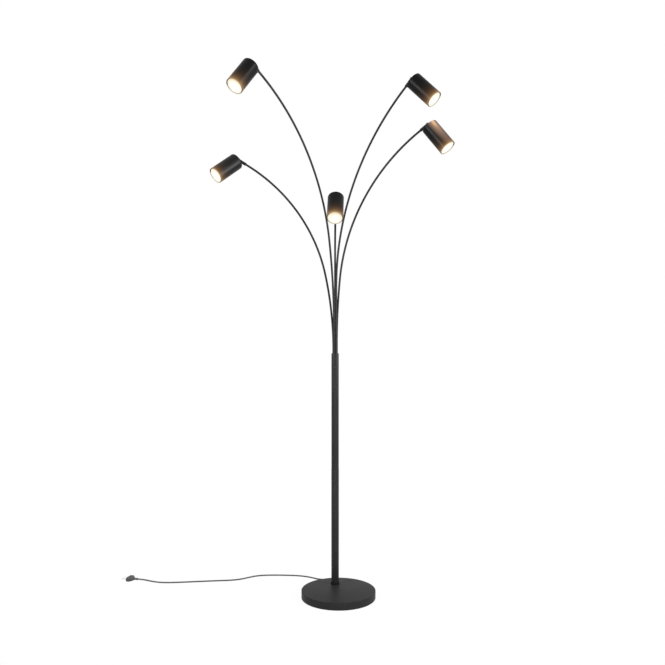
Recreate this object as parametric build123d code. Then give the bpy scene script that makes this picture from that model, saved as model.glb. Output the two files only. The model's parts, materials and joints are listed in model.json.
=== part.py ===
"""Tree floor lamp: five spotlight heads on bent tubes that rise as one bundle from a round weighted base.

Millimetres, +Z up, the front of the lamp faces -Y. The origin is the centre of the base's resting face.
"""

import os
from dataclasses import dataclass
from math import asin, cos, degrees, pi, radians, sin, tan

from build123d import *

# ---------------------------------------------------------------- base
BASE_DIAMETER = 248.0
BASE_HEIGHT = 26.0
COVER_WALL = 1.2
COVER_EDGE_RADIUS = 1.0
COVER_LIFT = 1.2
WEIGHT_CLEARANCE = 0.6
WEIGHT_RELIEF_DEPTH = 7.0
WEIGHT_RELIEF_INNER = 44.0
WEIGHT_RIM = 16.0
PLATE_THICKNESS = 1.5
PAD_THICKNESS = 2.0
PAD_INSET = 6.0
PLATE_SCREW_DIAMETER = 4.0
PLATE_SCREW_HEAD = 7.6
PLATE_SCREW_LENGTH = 12.0
PLATE_SCREW_COUNT = 4

# ---------------------------------------------------------------- pole
POLE_X = -11.0
POLE_Y = 60.0
POLE_DIAMETER = 25.4
POLE_WALL = 1.5
LOWER_POLE_DIAMETER = 26.0
POLE_SECTION = 395.8
POLE_END_CHAMFER = 0.5
POLE_TOP_CHAMFER = 1.2
POLE_FIT = 0.05
COUPLER_LENGTH = 60.0
COUPLER_BORE = 14.0
FOOT_PLUG_LENGTH = 25.0
COLLAR_DIAMETER = 30.0
COLLAR_HEIGHT = 7.0
COLLAR_CLEARANCE = 0.1
COLLAR_CHAMFER = 1.2
NIPPLE_DIAMETER = 10.0
NIPPLE_BORE = 6.4
NIPPLE_GRIP = 20.0
NIPPLE_CLEARANCE = 0.3
NUT_FLATS = 14.0
NUT_THICKNESS = 5.0
WASHER_DIAMETER = 26.0
WASHER_THICKNESS = 1.6
NUT_POCKET_DIAMETER = 34.0
NIPPLE_TAIL = 1.0

# ---------------------------------------------------------------- arms
ARM_DIAMETER = 7.0
ARM_WALL = 1.0
ARM_GAP = 0.4
ARM_COUNT = 5
ARM_FIT = 0.03
HOLDER_LENGTH = 64.0
HOLDER_RECESS = 1.0
GRUB_DIAMETER = 4.0
GRUB_LENGTH = 3.6
GRUB_DEPTH_BELOW_TOP = 47.5
GRUB_SOCKET_FLATS = 2.0
GRUB_SOCKET_DEPTH = 1.8

# ---------------------------------------------------------------- knuckles
TIP_DIAMETER = 10.0
TIP_BARREL = 18.0
TIP_SOCKET_DEPTH = 15.0
TIP_CHAMFER = 0.8
TUBE_END_GAP = 1.0
SWIVEL_FIT = 0.05
HINGE_FROM_TIP = 29.0
EYE_THICKNESS = 4.6
EYE_RADIUS = 5.0
CHEEK_THICKNESS = 2.6
CHEEK_GAP = 0.3
HINGE_STANDOFF = 8.5
YOKE_FLANGE_DIAMETER = 14.0
YOKE_FLANGE_THICKNESS = 2.2
YOKE_NIPPLE_DIAMETER = 8.0
YOKE_NIPPLE_BORE = 4.0
YOKE_NIPPLE_LENGTH = 8.0
YOKE_NIPPLE_FIT = 0.05
PIVOT_DIAMETER = 4.0
PIVOT_FIT = 0.05
PIVOT_HEAD_DIAMETER = 7.0
PIVOT_HEAD_THICKNESS = 2.0
PIVOT_SLOT_WIDTH = 1.0
PIVOT_SLOT_DEPTH = 0.9
PIVOT_NUT_FLATS = 6.6
PIVOT_NUT_THICKNESS = 2.4

# ---------------------------------------------------------------- heads
HEAD_DIAMETER = 53.5
HEAD_LENGTH = 97.0
HEAD_WALL = 1.2
HEAD_BACK = 2.0
HEAD_EDGE_RADIUS = 2.0
SOCKET_NECK_DIAMETER = 16.0
SOCKET_DIAMETER = 27.0
SOCKET_LENGTH = 30.0
PIN_SPACING = 10.0
PIN_DIAMETER = 2.6
PIN_HEAD_DIAMETER = 5.0
PIN_HEAD_LENGTH = 2.0
PIN_LENGTH = 7.0
PIN_CLEARANCE = 0.2
BULB_BASE_DIAMETER = 26.0
BULB_BASE_LENGTH = 13.0
BULB_DIAMETER = 50.0
BULB_LENGTH = 50.0
BULB_RIM = 3.0
BULB_WALL = 2.0
BOWL_WAIST_SHARE = 0.68
LENS_DIAMETER = 48.0
LENS_THICKNESS = 1.6
LENS_SEAT = 1.0
LENS_INSET = 2.5
GLARE_RING_WALL = 1.65
GLARE_RING_GAP = 0.3
GLARE_RING_INSET = 0.3

# ---------------------------------------------------------------- cord, its relief, the terminal block and the plug
CORD_DIAMETER = 5.0
CORD_EXIT_HEIGHT = 10.0
CORD_EXIT_ANGLE = 20.0
RELIEF_LENGTH = 25.0
RELIEF_ROOT_DIAMETER = 11.0
RELIEF_TIP_DIAMETER = 6.6
RELIEF_SHANK_DIAMETER = 8.0
RELIEF_HEAD_DIAMETER = 12.0
RELIEF_HEAD_LENGTH = 2.0
RELIEF_CHANNEL_CLEARANCE = 1.0
TERMINAL_LENGTH = 24.0
TERMINAL_WIDTH = 16.0
TERMINAL_HEIGHT = 12.0
TERMINAL_OFFSET = 34.0
TERMINAL_POCKET_CLEARANCE = 1.0
TERMINAL_SCREW_DIAMETER = 3.0
PLUG_WIDTH = 35.0
PLUG_THICKNESS = 13.6
PLUG_LENGTH = 24.0
PLUG_SHOULDER = 11.0
PLUG_BOOT_LENGTH = 14.0
PLUG_BOOT_DIAMETER = 7.6
PLUG_CHAMFER = 2.5
PLUG_PIN_SPACING = 18.6
PLUG_PIN_DIAMETER = 4.0
PLUG_PIN_LENGTH = 19.0
PLUG_PIN_ROOT = 6.0

# The cord's way over the floor from its relief to the plug: (x, y, height of its centre).
# Its first run goes straight on from the relief, and its last lies level with the plug's middle.
CORD_FIRST_RUN = 14.0
FLOOR = CORD_DIAMETER / 2
PLUG_LEVEL = PLUG_THICKNESS / 2
CORD_ROUTE = [
    (-65.0, 168.0, 5.0),
    (-82.0, 185.0, FLOOR),
    (-101.0, 199.0, FLOOR),
    (-121.0, 209.0, FLOOR),
    (-152.0, 218.0, FLOOR),
    (-200.0, 222.5, FLOOR),
    (-261.0, 223.0, FLOOR),
    (-297.0, 215.5, FLOOR),
    (-323.0, 198.0, FLOOR),
    (-348.0, 178.5, FLOOR),
    (-380.0, 166.0, FLOOR),
    (-433.0, 160.5, FLOOR),
    (-497.0, 152.5, FLOOR),
    (-560.0, 144.0, FLOOR),
    (-608.0, 139.5, FLOOR),
    (-640.0, 143.5, FLOOR),
    (-669.0, 151.5, 3.9),
    (-695.0, 159.5, PLUG_LEVEL),
    (-719.0, 165.5, PLUG_LEVEL),
]


@dataclass(frozen=True)
class ArmShape:
    """One arm: where its tube stands in the bundle, how it is bent and how its head is set."""

    name: str
    ring_angle: float
    azimuth: float
    straight: float
    lean_radius: float
    lean_angle: float
    bend_radius: float
    bend_angle: float
    swivel: float
    fold: float


ARM_SHAPES = [
    ArmShape("upper_left", -36.0, -36.9, 79.0, 1750.0, 10.0, 626.0, 54.9, -5.6, 77.7),
    ArmShape("upper_right", 36.0, 49.9, 187.0, 2420.0, 1.6, 791.0, 48.7, 10.4, 86.7),
    ArmShape("lower_right", 108.0, 59.7, 33.0, 2030.0, 6.3, 609.0, 53.4, 3.1, 82.5),
    ArmShape("lower_left", -108.0, -78.8, 10.0, 1210.0, 12.4, 549.0, 48.7, 20.2, 70.5),
    ArmShape("centre", 180.0, 1.4, 335.0, 3000.0, 0.3, 193.0, 51.8, -2.7, 92.5),
]

# ---------------------------------------------------------------- worked-out places
BASE_RADIUS = BASE_DIAMETER / 2
POLE_RADIUS = POLE_DIAMETER / 2
LOWER_POLE_RADIUS = LOWER_POLE_DIAMETER / 2
POLE_BORE_RADIUS = POLE_RADIUS - POLE_WALL
INSERT_RADIUS = POLE_BORE_RADIUS - POLE_FIT
POLE_TOP = BASE_HEIGHT + 2 * POLE_SECTION
PLATE_BOTTOM = PAD_THICKNESS
WEIGHT_BOTTOM = PLATE_BOTTOM + PLATE_THICKNESS
WEIGHT_TOP = BASE_HEIGHT - COVER_WALL
WEIGHT_RADIUS = BASE_RADIUS - COVER_WALL - WEIGHT_CLEARANCE
NUT_BOTTOM = WEIGHT_BOTTOM + NIPPLE_TAIL
NUT_POCKET_TOP = NUT_BOTTOM + NUT_THICKNESS + WASHER_THICKNESS
RING_RADIUS = (ARM_DIAMETER + ARM_GAP) / 2 / sin(pi / ARM_COUNT)
HEAD_RADIUS = HEAD_DIAMETER / 2
HEAD_BORE_RADIUS = HEAD_RADIUS - HEAD_WALL
CAP_INSIDE = HINGE_STANDOFF + HEAD_BACK
MOUTH = HINGE_STANDOFF + HEAD_LENGTH
LENS_FACE = MOUTH - LENS_INSET
SOCKET_FRONT = LENS_FACE - BULB_LENGTH
SOCKET_BACK = SOCKET_FRONT - SOCKET_LENGTH
POLE_AXIS = Pos(POLE_X, POLE_Y, 0)
CORD_EXIT_TURN = Rot(0, 0, CORD_EXIT_ANGLE)


def disc(radius, bottom, height):
    """An upright cylinder on the Z axis that starts at a height."""
    return Pos(0, 0, bottom) * Cylinder(radius, height, align=(Align.CENTER, Align.CENTER, Align.MIN))


def ring(outer_radius, inner_radius, bottom, height):
    """An upright ring on the Z axis."""
    return disc(outer_radius, bottom, height) - disc(inner_radius, bottom, height)


def hexagon(flats, bottom, height):
    """An upright hexagonal prism on the Z axis, with its size given across the flats."""
    return Pos(0, 0, bottom) * extrude(RegularPolygon(flats / 2, 6, major_radius=False), height)


def turned(points):
    """A solid turned about the Z axis from an outline of (radius, height) points."""
    outline = make_face(Polyline([(radius, 0, height) for radius, height in points], close=True))
    return revolve(outline, Axis.Z)


# ---------------------------------------------------------------- the arms' frames
def arm_plane(shape):
    """The arm's foot at the pole's top and its outward direction, as the tube stands in the bundle."""
    turn = radians(shape.ring_angle)
    foot = Vector(POLE_X + RING_RADIUS * sin(turn), POLE_Y - RING_RADIUS * cos(turn), POLE_TOP)
    turn = radians(shape.azimuth)
    return foot, Vector(sin(turn), -cos(turn), 0)


def tip_frame(shape):
    """The frame at the arm's tip: Z along the tube and X along the knuckle's hinge pin."""
    foot, outward = arm_plane(shape)
    lean, reach = radians(shape.lean_angle), radians(shape.lean_angle + shape.bend_angle)
    out = shape.lean_radius * (1 - cos(lean)) + shape.bend_radius * (cos(lean) - cos(reach))
    rise = shape.straight + shape.lean_radius * sin(lean) + shape.bend_radius * (sin(reach) - sin(lean))
    tip = foot + outward * out + Vector(0, 0, rise)
    along = outward * sin(reach) + Vector(0, 0, cos(reach))
    sideways = Vector(0, 0, 1).cross(outward)
    pin = sideways.rotate(Axis((0, 0, 0), along), shape.swivel)
    return Plane(origin=tip, x_dir=pin, z_dir=along)


def head_frame(shape):
    """The frame at the knuckle's hinge: X along the pin and Z along the head, towards its mouth."""
    tip = tip_frame(shape)
    hinge = tip.origin + tip.z_dir * HINGE_FROM_TIP
    aim = tip.z_dir.rotate(Axis((0, 0, 0), tip.x_dir), shape.fold)
    return Plane(origin=hinge, x_dir=tip.x_dir, z_dir=aim)


# ---------------------------------------------------------------- base
def relief_channel_width():
    """The width of the channel that the cord runs through, from the rim to the pole's nut."""
    return RELIEF_HEAD_DIAMETER + 2 * RELIEF_CHANNEL_CLEARANCE


def exit_direction():
    """The cord's direction where it leaves the base, level and to the rear left."""
    turn = radians(CORD_EXIT_ANGLE)
    return Vector(-sin(turn), cos(turn), 0)


def wall_frame():
    """The frame of the cord's hole: on the cover's outer wall, Z pointing out along the cord."""
    direction = exit_direction()
    return Plane(origin=direction * BASE_RADIUS + Vector(0, 0, CORD_EXIT_HEIGHT), z_dir=direction)


def on_wall(piece):
    """Puts a piece, made on the Z axis, on the cord's exit."""
    return wall_frame().location * piece


def base_cover():
    """The pressed steel shell: a flat top and a short wall that stops just above the floor."""
    inner_radius = BASE_RADIUS - COVER_WALL
    outer = disc(BASE_RADIUS, COVER_LIFT, BASE_HEIGHT - COVER_LIFT)
    outer = fillet(outer.edges().group_by(Axis.Z)[-1], COVER_EDGE_RADIUS)
    shell = outer - disc(inner_radius, COVER_LIFT, WEIGHT_TOP - COVER_LIFT)
    shell -= POLE_AXIS * disc(NIPPLE_DIAMETER / 2 + NIPPLE_CLEARANCE, 0, BASE_HEIGHT + COVER_WALL)
    return shell - on_wall(disc(RELIEF_SHANK_DIAMETER / 2, -2 * COVER_WALL, 4 * COVER_WALL))


def cord_channel():
    """The straight channel in the weight's underside that takes the cord to the pole's nut."""
    height = CORD_EXIT_HEIGHT + RELIEF_HEAD_DIAMETER / 2 + RELIEF_CHANNEL_CLEARANCE - WEIGHT_BOTTOM
    start = exit_direction() * (BASE_RADIUS + COVER_WALL)
    end = Vector(POLE_X, POLE_Y, 0)
    run = end - start
    middle = (start + end) * 0.5
    turn = degrees(asin(-run.X / run.length))
    bar = Box(
        relief_channel_width(), run.length, height, align=(Align.CENTER, Align.CENTER, Align.MIN)
    )
    return Pos(middle.X, middle.Y, WEIGHT_BOTTOM) * Rot(0, 0, 180 - turn) * bar


def terminal_place():
    """The place of the terminal block: in its pocket, beside the pole's nut towards the front."""
    return Pos(POLE_X, POLE_Y - TERMINAL_OFFSET, WEIGHT_BOTTOM)


def terminal_body(extra, height):
    """A block of the terminal's outline, grown by a clearance for its pocket."""
    return Box(
        TERMINAL_LENGTH + 2 * extra,
        TERMINAL_WIDTH + 2 * extra,
        height,
        align=(Align.CENTER, Align.CENTER, Align.MIN),
    )


def plate_screw_places():
    """The screws that hold the closing plate, evenly spaced on the weight's rim."""
    radius = WEIGHT_RADIUS - WEIGHT_RIM / 2
    return [Rot(0, 0, 45 + 360 / PLATE_SCREW_COUNT * i) * Pos(radius, 0, 0) for i in range(PLATE_SCREW_COUNT)]


def base_weight():
    """The cast iron disc: relieved below, with the nut's pocket, the terminal's pocket and the channel."""
    weight = disc(WEIGHT_RADIUS, WEIGHT_BOTTOM, WEIGHT_TOP - WEIGHT_BOTTOM)
    relief_outer = WEIGHT_RADIUS - WEIGHT_RIM
    weight -= ring(relief_outer, WEIGHT_RELIEF_INNER, WEIGHT_BOTTOM, WEIGHT_RELIEF_DEPTH)
    boss = POLE_AXIS * disc(NUT_POCKET_DIAMETER / 2 + COVER_WALL * 5, WEIGHT_BOTTOM, WEIGHT_RELIEF_DEPTH)
    weight += boss & disc(relief_outer, WEIGHT_BOTTOM, WEIGHT_RELIEF_DEPTH)
    weight -= POLE_AXIS * disc(NUT_POCKET_DIAMETER / 2, WEIGHT_BOTTOM, NUT_POCKET_TOP - WEIGHT_BOTTOM)
    weight -= POLE_AXIS * disc(NIPPLE_DIAMETER / 2 + NIPPLE_CLEARANCE, WEIGHT_BOTTOM, BASE_HEIGHT)
    weight -= cord_channel()
    pocket_height = TERMINAL_HEIGHT + TERMINAL_POCKET_CLEARANCE
    weight -= terminal_place() * terminal_body(TERMINAL_POCKET_CLEARANCE, pocket_height)
    hole = disc(PLATE_SCREW_DIAMETER / 2, 0, PLATE_BOTTOM + PLATE_SCREW_LENGTH)
    for place in plate_screw_places():
        weight -= place * hole
    return weight


def screw_head(bottom):
    """The countersunk head's cone, as deep as the plate is thick."""
    outline = [
        (0, bottom),
        (PLATE_SCREW_HEAD / 2, bottom),
        (PLATE_SCREW_DIAMETER / 2, bottom + PLATE_THICKNESS),
        (0, bottom + PLATE_THICKNESS),
    ]
    return turned(outline)


def base_plate():
    """The thin plate that closes the base from below."""
    plate = disc(WEIGHT_RADIUS, PLATE_BOTTOM, PLATE_THICKNESS)
    for place in plate_screw_places():
        plate -= place * screw_head(PLATE_BOTTOM)
    return plate


def base_plate_screws():
    """The countersunk screws that hold the plate to the weight."""
    shank = disc(PLATE_SCREW_DIAMETER / 2, WEIGHT_BOTTOM, PLATE_SCREW_LENGTH - PLATE_THICKNESS)
    screw = shank + screw_head(PLATE_BOTTOM)
    return Compound([place * screw for place in plate_screw_places()])


def base_pad():
    """The foam disc under the base, which the lamp stands on."""
    return disc(BASE_RADIUS - PAD_INSET, 0, PAD_THICKNESS)


# ---------------------------------------------------------------- pole
def pole_nipple():
    """The hollow threaded rod that ties the pole to the weight and lets the wires through."""
    top = BASE_HEIGHT + NIPPLE_GRIP
    return POLE_AXIS * ring(NIPPLE_DIAMETER / 2, NIPPLE_BORE / 2, WEIGHT_BOTTOM, top - WEIGHT_BOTTOM)


def pole_nut():
    """The nut and its washer, drawn up against the weight from below."""
    hole = disc(NIPPLE_DIAMETER / 2, NUT_BOTTOM, NUT_THICKNESS + WASHER_THICKNESS)
    nut = hexagon(NUT_FLATS, NUT_BOTTOM, NUT_THICKNESS) - hole
    washer = ring(WASHER_DIAMETER / 2, NIPPLE_DIAMETER / 2, NUT_BOTTOM + NUT_THICKNESS, WASHER_THICKNESS)
    return Compound([POLE_AXIS * nut, POLE_AXIS * washer])


def pole_foot_plug():
    """The bush in the pole's foot that the nipple screws into."""
    return POLE_AXIS * ring(INSERT_RADIUS, NIPPLE_DIAMETER / 2, BASE_HEIGHT, FOOT_PLUG_LENGTH)


def pole_collar():
    """The low ring that hides the joint between the pole and the base."""
    collar = ring(COLLAR_DIAMETER / 2, LOWER_POLE_RADIUS + COLLAR_CLEARANCE, BASE_HEIGHT, COLLAR_HEIGHT)
    rim = collar.edges().group_by(Axis.Z)[-1].sort_by(SortBy.RADIUS)[-1]
    return POLE_AXIS * chamfer(rim, COLLAR_CHAMFER)


def pole_section(radius, bottom, top_chamfer):
    """One length of the pole, with both outer rims chamfered."""
    top = bottom + POLE_SECTION
    outline = [
        (POLE_BORE_RADIUS, bottom),
        (radius - POLE_END_CHAMFER, bottom),
        (radius, bottom + POLE_END_CHAMFER),
        (radius, top - top_chamfer),
        (radius - top_chamfer, top),
        (POLE_BORE_RADIUS, top),
    ]
    return POLE_AXIS * turned(outline)


def grub_hole(depth):
    """The radial hole of the arm holder's grub screw, from the pole's front inwards."""
    place = Pos(POLE_X, POLE_Y - POLE_RADIUS, POLE_TOP - GRUB_DEPTH_BELOW_TOP) * Rot(90, 0, 0)
    return place * disc(GRUB_DIAMETER / 2, -depth, 2 * depth)


def pole_lower():
    """The lower length of the pole, which has the thicker wall."""
    return pole_section(LOWER_POLE_RADIUS, BASE_HEIGHT, POLE_END_CHAMFER)


def pole_upper():
    """The upper length of the pole, with the grub screw's hole."""
    tube = pole_section(POLE_RADIUS, BASE_HEIGHT + POLE_SECTION, POLE_TOP_CHAMFER)
    return tube - grub_hole(GRUB_LENGTH)


def pole_coupler():
    """The sleeve inside the pole that joins its two lengths."""
    joint = BASE_HEIGHT + POLE_SECTION
    return POLE_AXIS * ring(INSERT_RADIUS, COUPLER_BORE / 2, joint - COUPLER_LENGTH / 2, COUPLER_LENGTH)


def arm_holder():
    """The long plug in the pole's mouth, bored for the five tubes."""
    bottom = POLE_TOP - HOLDER_RECESS - HOLDER_LENGTH
    holder = POLE_AXIS * disc(INSERT_RADIUS, bottom, HOLDER_LENGTH)
    for shape in ARM_SHAPES:
        foot, _ = arm_plane(shape)
        holder -= Pos(foot.X, foot.Y, 0) * disc(ARM_DIAMETER / 2 + ARM_FIT, bottom, HOLDER_LENGTH)
    return holder - grub_hole(GRUB_LENGTH)


def arm_holder_screw():
    """The grub screw through the pole's wall, with its hexagonal socket."""
    place = Pos(POLE_X, POLE_Y - POLE_RADIUS, POLE_TOP - GRUB_DEPTH_BELOW_TOP) * Rot(90, 0, 0)
    screw = disc(GRUB_DIAMETER / 2, -GRUB_LENGTH, GRUB_LENGTH)
    screw -= hexagon(GRUB_SOCKET_FLATS, -GRUB_SOCKET_DEPTH, GRUB_SOCKET_DEPTH)
    return place * screw


# ---------------------------------------------------------------- arms and knuckles
def bent(start, direction, outward, radius, angle, section):
    """A bend of a round section: it leaves start along direction and turns towards outward."""
    side = outward - direction * outward.dot(direction)
    centre = start + side.normalized() * radius
    axis = Axis(centre, direction.cross(outward))
    face = Plane(origin=start, z_dir=direction).location * section
    return revolve(face, axis, angle)


def arm_tube(shape):
    """One arm: a straight foot in the holder, a slow lean and the main bend to the head."""
    foot, outward = arm_plane(shape)
    up = Vector(0, 0, 1)
    section = Circle(ARM_DIAMETER / 2) - Circle(ARM_DIAMETER / 2 - ARM_WALL)
    bottom = foot - up * (HOLDER_RECESS + HOLDER_LENGTH)
    knee = foot + up * shape.straight
    lean = radians(shape.lean_angle)
    direction = outward * sin(lean) + up * cos(lean)
    elbow = knee + outward * (shape.lean_radius * (1 - cos(lean))) + up * (shape.lean_radius * sin(lean))
    tip = tip_frame(shape)
    stub = extrude(tip.location * section, TIP_SOCKET_DEPTH - TUBE_END_GAP)
    tube = extrude(Plane(origin=bottom).location * section, (knee - bottom).length)
    tube += bent(knee, up, outward, shape.lean_radius, shape.lean_angle, section)
    tube += bent(elbow, direction, outward, shape.bend_radius, shape.bend_angle, section)
    return tube + stub


def arm_tip(shape):
    """The knuckle's barrel: it turns on the tube's end and carries the hinge's eye."""
    barrel = disc(TIP_DIAMETER / 2, 0, TIP_BARREL)
    barrel = chamfer(barrel.edges().filter_by(GeomType.CIRCLE), TIP_CHAMFER)
    barrel -= disc(ARM_DIAMETER / 2 + SWIVEL_FIT, 0, TIP_SOCKET_DEPTH)
    tongue_start = TIP_BARREL - TIP_CHAMFER
    tongue = Pos(0, 0, tongue_start) * Box(
        EYE_THICKNESS,
        2 * EYE_RADIUS - 2 * TIP_CHAMFER,
        HINGE_FROM_TIP - tongue_start,
        align=(Align.CENTER, Align.CENTER, Align.MIN),
    )
    eye_place = Pos(0, 0, HINGE_FROM_TIP) * Rot(0, 90, 0)
    eye = eye_place * Cylinder(EYE_RADIUS, EYE_THICKNESS)
    hole = eye_place * Cylinder(PIVOT_DIAMETER / 2 + PIVOT_FIT, TIP_DIAMETER)
    return tip_frame(shape).location * (barrel + tongue + eye - hole)


def head_yoke(shape):
    """The fork on the head's back: a flange, two cheeks round the eye and a hollow threaded neck."""
    flange_bottom = HINGE_STANDOFF - YOKE_FLANGE_THICKNESS
    yoke = disc(YOKE_FLANGE_DIAMETER / 2, flange_bottom, YOKE_FLANGE_THICKNESS)
    middle = EYE_THICKNESS / 2 + CHEEK_GAP + CHEEK_THICKNESS / 2
    for side in (-middle, middle):
        cheek = Pos(side, 0, 0) * Rot(0, 90, 0) * Cylinder(EYE_RADIUS, CHEEK_THICKNESS)
        web = Box(
            CHEEK_THICKNESS, 2 * EYE_RADIUS, flange_bottom, align=(Align.CENTER, Align.CENTER, Align.MIN)
        )
        yoke += cheek + Pos(side, 0, 0) * web
    yoke += disc(YOKE_NIPPLE_DIAMETER / 2, HINGE_STANDOFF, YOKE_NIPPLE_LENGTH)
    yoke -= disc(YOKE_NIPPLE_BORE / 2, flange_bottom, YOKE_FLANGE_THICKNESS + YOKE_NIPPLE_LENGTH)
    yoke -= Rot(0, 90, 0) * Cylinder(PIVOT_DIAMETER / 2, TIP_DIAMETER * 2)
    return head_frame(shape).location * yoke


def pivot_screw(shape):
    """The hinge's slotted screw and its nut, one on each cheek."""
    half = EYE_THICKNESS / 2 + CHEEK_GAP + CHEEK_THICKNESS
    shank = disc(PIVOT_DIAMETER / 2, -half - PIVOT_NUT_THICKNESS, 2 * half + PIVOT_NUT_THICKNESS)
    head = disc(PIVOT_HEAD_DIAMETER / 2, half, PIVOT_HEAD_THICKNESS)
    slot_place = Pos(0, 0, half + PIVOT_HEAD_THICKNESS - PIVOT_SLOT_DEPTH / 2)
    slot = slot_place * Box(PIVOT_HEAD_DIAMETER, PIVOT_SLOT_WIDTH, PIVOT_SLOT_DEPTH)
    nut = hexagon(PIVOT_NUT_FLATS, -half - PIVOT_NUT_THICKNESS, PIVOT_NUT_THICKNESS)
    nut -= disc(PIVOT_DIAMETER / 2, -half - PIVOT_NUT_THICKNESS, PIVOT_NUT_THICKNESS)
    place = head_frame(shape).location * Rot(0, 90, 0)
    return Compound([place * (shank + head - slot), place * nut])


# ---------------------------------------------------------------- heads
def head_shell(shape):
    """The turned can: a rounded back with the neck's hole, a straight wall and an open mouth."""
    can = disc(HEAD_RADIUS, HINGE_STANDOFF, HEAD_LENGTH)
    can = fillet(can.edges().group_by(Axis.Z)[0], HEAD_EDGE_RADIUS)
    can -= disc(HEAD_BORE_RADIUS, CAP_INSIDE, MOUTH - CAP_INSIDE)
    can -= disc(YOKE_NIPPLE_DIAMETER / 2 + YOKE_NIPPLE_FIT, HINGE_STANDOFF, HEAD_BACK)
    return head_frame(shape).location * can


def pin_places():
    """The two places of the bulb's pins, one each side of the axis."""
    return [Pos(side * PIN_SPACING / 2, 0, 0) for side in (-1, 1)]


def bulb_socket(shape):
    """The ceramic lampholder on its long neck, screwed on the yoke's nipple to clamp the head's back."""
    socket = disc(SOCKET_NECK_DIAMETER / 2, CAP_INSIDE, SOCKET_BACK - CAP_INSIDE)
    socket += disc(SOCKET_DIAMETER / 2, SOCKET_BACK, SOCKET_LENGTH)
    neck_room = HINGE_STANDOFF + YOKE_NIPPLE_LENGTH - CAP_INSIDE
    socket -= disc(YOKE_NIPPLE_DIAMETER / 2 + YOKE_NIPPLE_FIT, CAP_INSIDE, neck_room)
    well_depth = PIN_LENGTH + PIN_CLEARANCE
    well = disc(PIN_HEAD_DIAMETER / 2 + PIN_CLEARANCE, SOCKET_FRONT - well_depth, well_depth)
    for place in pin_places():
        socket -= place * well
    return head_frame(shape).location * socket


def bulb_bowl(inset):
    """The outline of the bulb's widening bowl, from its foot to its rim, drawn in by the wall."""
    base_radius, rim_radius = BULB_BASE_DIAMETER / 2, BULB_DIAMETER / 2
    foot, rim = SOCKET_FRONT + BULB_BASE_LENGTH, LENS_FACE - BULB_RIM
    waist_radius = base_radius + (rim_radius - base_radius) * BOWL_WAIST_SHARE
    waist = foot + (rim - foot) / 2
    return [(base_radius - inset, foot), (waist_radius - inset, waist), (rim_radius - inset, rim)]


def spot_bulb(shape):
    """The reflector bulb with its two headed pins, and its front lens as a solid of its own."""
    rim_radius, lens_back = BULB_DIAMETER / 2, LENS_FACE - LENS_THICKNESS
    foot = [(0, SOCKET_FRONT), (BULB_BASE_DIAMETER / 2, SOCKET_FRONT)]
    body = turned(foot + bulb_bowl(0) + [(rim_radius, LENS_FACE), (0, LENS_FACE)])
    cavity = bulb_bowl(BULB_WALL)
    body -= turned([(0, cavity[0][1])] + cavity[:2] + [(LENS_DIAMETER / 2 - LENS_SEAT, lens_back), (0, lens_back)])
    lens = disc(LENS_DIAMETER / 2, lens_back, LENS_THICKNESS)
    body -= lens
    pin = disc(PIN_DIAMETER / 2, SOCKET_FRONT - PIN_LENGTH, PIN_LENGTH)
    pin += disc(PIN_HEAD_DIAMETER / 2, SOCKET_FRONT - PIN_LENGTH, PIN_HEAD_LENGTH)
    for place in pin_places():
        body += place * pin
    place = head_frame(shape).location
    return Compound([place * body, place * lens])


def glare_ring(shape):
    """The flat ring that is pressed into the mouth, in front of the bulb's rim."""
    bottom = LENS_FACE + GLARE_RING_GAP
    height = MOUTH - GLARE_RING_INSET - bottom
    return head_frame(shape).location * ring(
        HEAD_BORE_RADIUS, HEAD_BORE_RADIUS - GLARE_RING_WALL, bottom, height
    )


# ---------------------------------------------------------------- cord and plug
def cord_relief():
    """The tapered boot on the cover's wall, with the shank and the head that hold it in its hole."""
    outline = [
        (0, -COVER_WALL - RELIEF_HEAD_LENGTH),
        (RELIEF_HEAD_DIAMETER / 2, -COVER_WALL - RELIEF_HEAD_LENGTH),
        (RELIEF_HEAD_DIAMETER / 2, -COVER_WALL - relief_seat_gap()),
        (RELIEF_SHANK_DIAMETER / 2, -COVER_WALL - relief_seat_gap()),
        (RELIEF_SHANK_DIAMETER / 2, relief_seat_gap() / 2),
        (RELIEF_ROOT_DIAMETER / 2, relief_seat_gap() / 2),
        (RELIEF_ROOT_DIAMETER / 2, 3 * COVER_WALL),
        (RELIEF_TIP_DIAMETER / 2, RELIEF_LENGTH),
        (0, RELIEF_LENGTH),
    ]
    return on_wall(turned(outline))


def relief_seat_gap():
    """How far the round wall falls away from the boot's flat faces at their edge."""
    return BASE_RADIUS - (BASE_RADIUS**2 - (RELIEF_HEAD_DIAMETER / 2) ** 2) ** 0.5


def cord_points():
    """The cord's route: straight out of the boot, then the hand-laid points to the plug."""
    frame = wall_frame()
    start = frame.origin + frame.z_dir * RELIEF_LENGTH
    return [start, start + frame.z_dir * CORD_FIRST_RUN] + [Vector(point) for point in CORD_ROUTE]


def cord_radii(points):
    """The arc at each corner: as large as its two runs allow."""
    radii = []
    for before, corner, after in zip(points, points[1:], points[2:]):
        shorter = min((corner - before).length, (after - corner).length)
        half_turn = radians((corner - before).get_angle(after - corner)) / 2
        radii.append(0.45 * shorter / tan(half_turn))
    return radii


def power_cord():
    """The round lead on the floor, as straight runs joined by arcs."""
    points = cord_points()
    radii = cord_radii(points)
    path = FilletPolyline(*points, radius=radii)
    section = Plane(origin=points[0], z_dir=points[1] - points[0]).location * Circle(CORD_DIAMETER / 2)
    cord = sweep(section, path=path)
    expected = path.length * pi * CORD_DIAMETER**2 / 4
    print("cord length", round(path.length, 1), "smallest radius", round(min(radii), 1))
    print("cord radii", [round(radius) for radius in radii])
    print("cord volume over section times length", round(cord.volume / expected, 4))
    return cord


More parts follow.
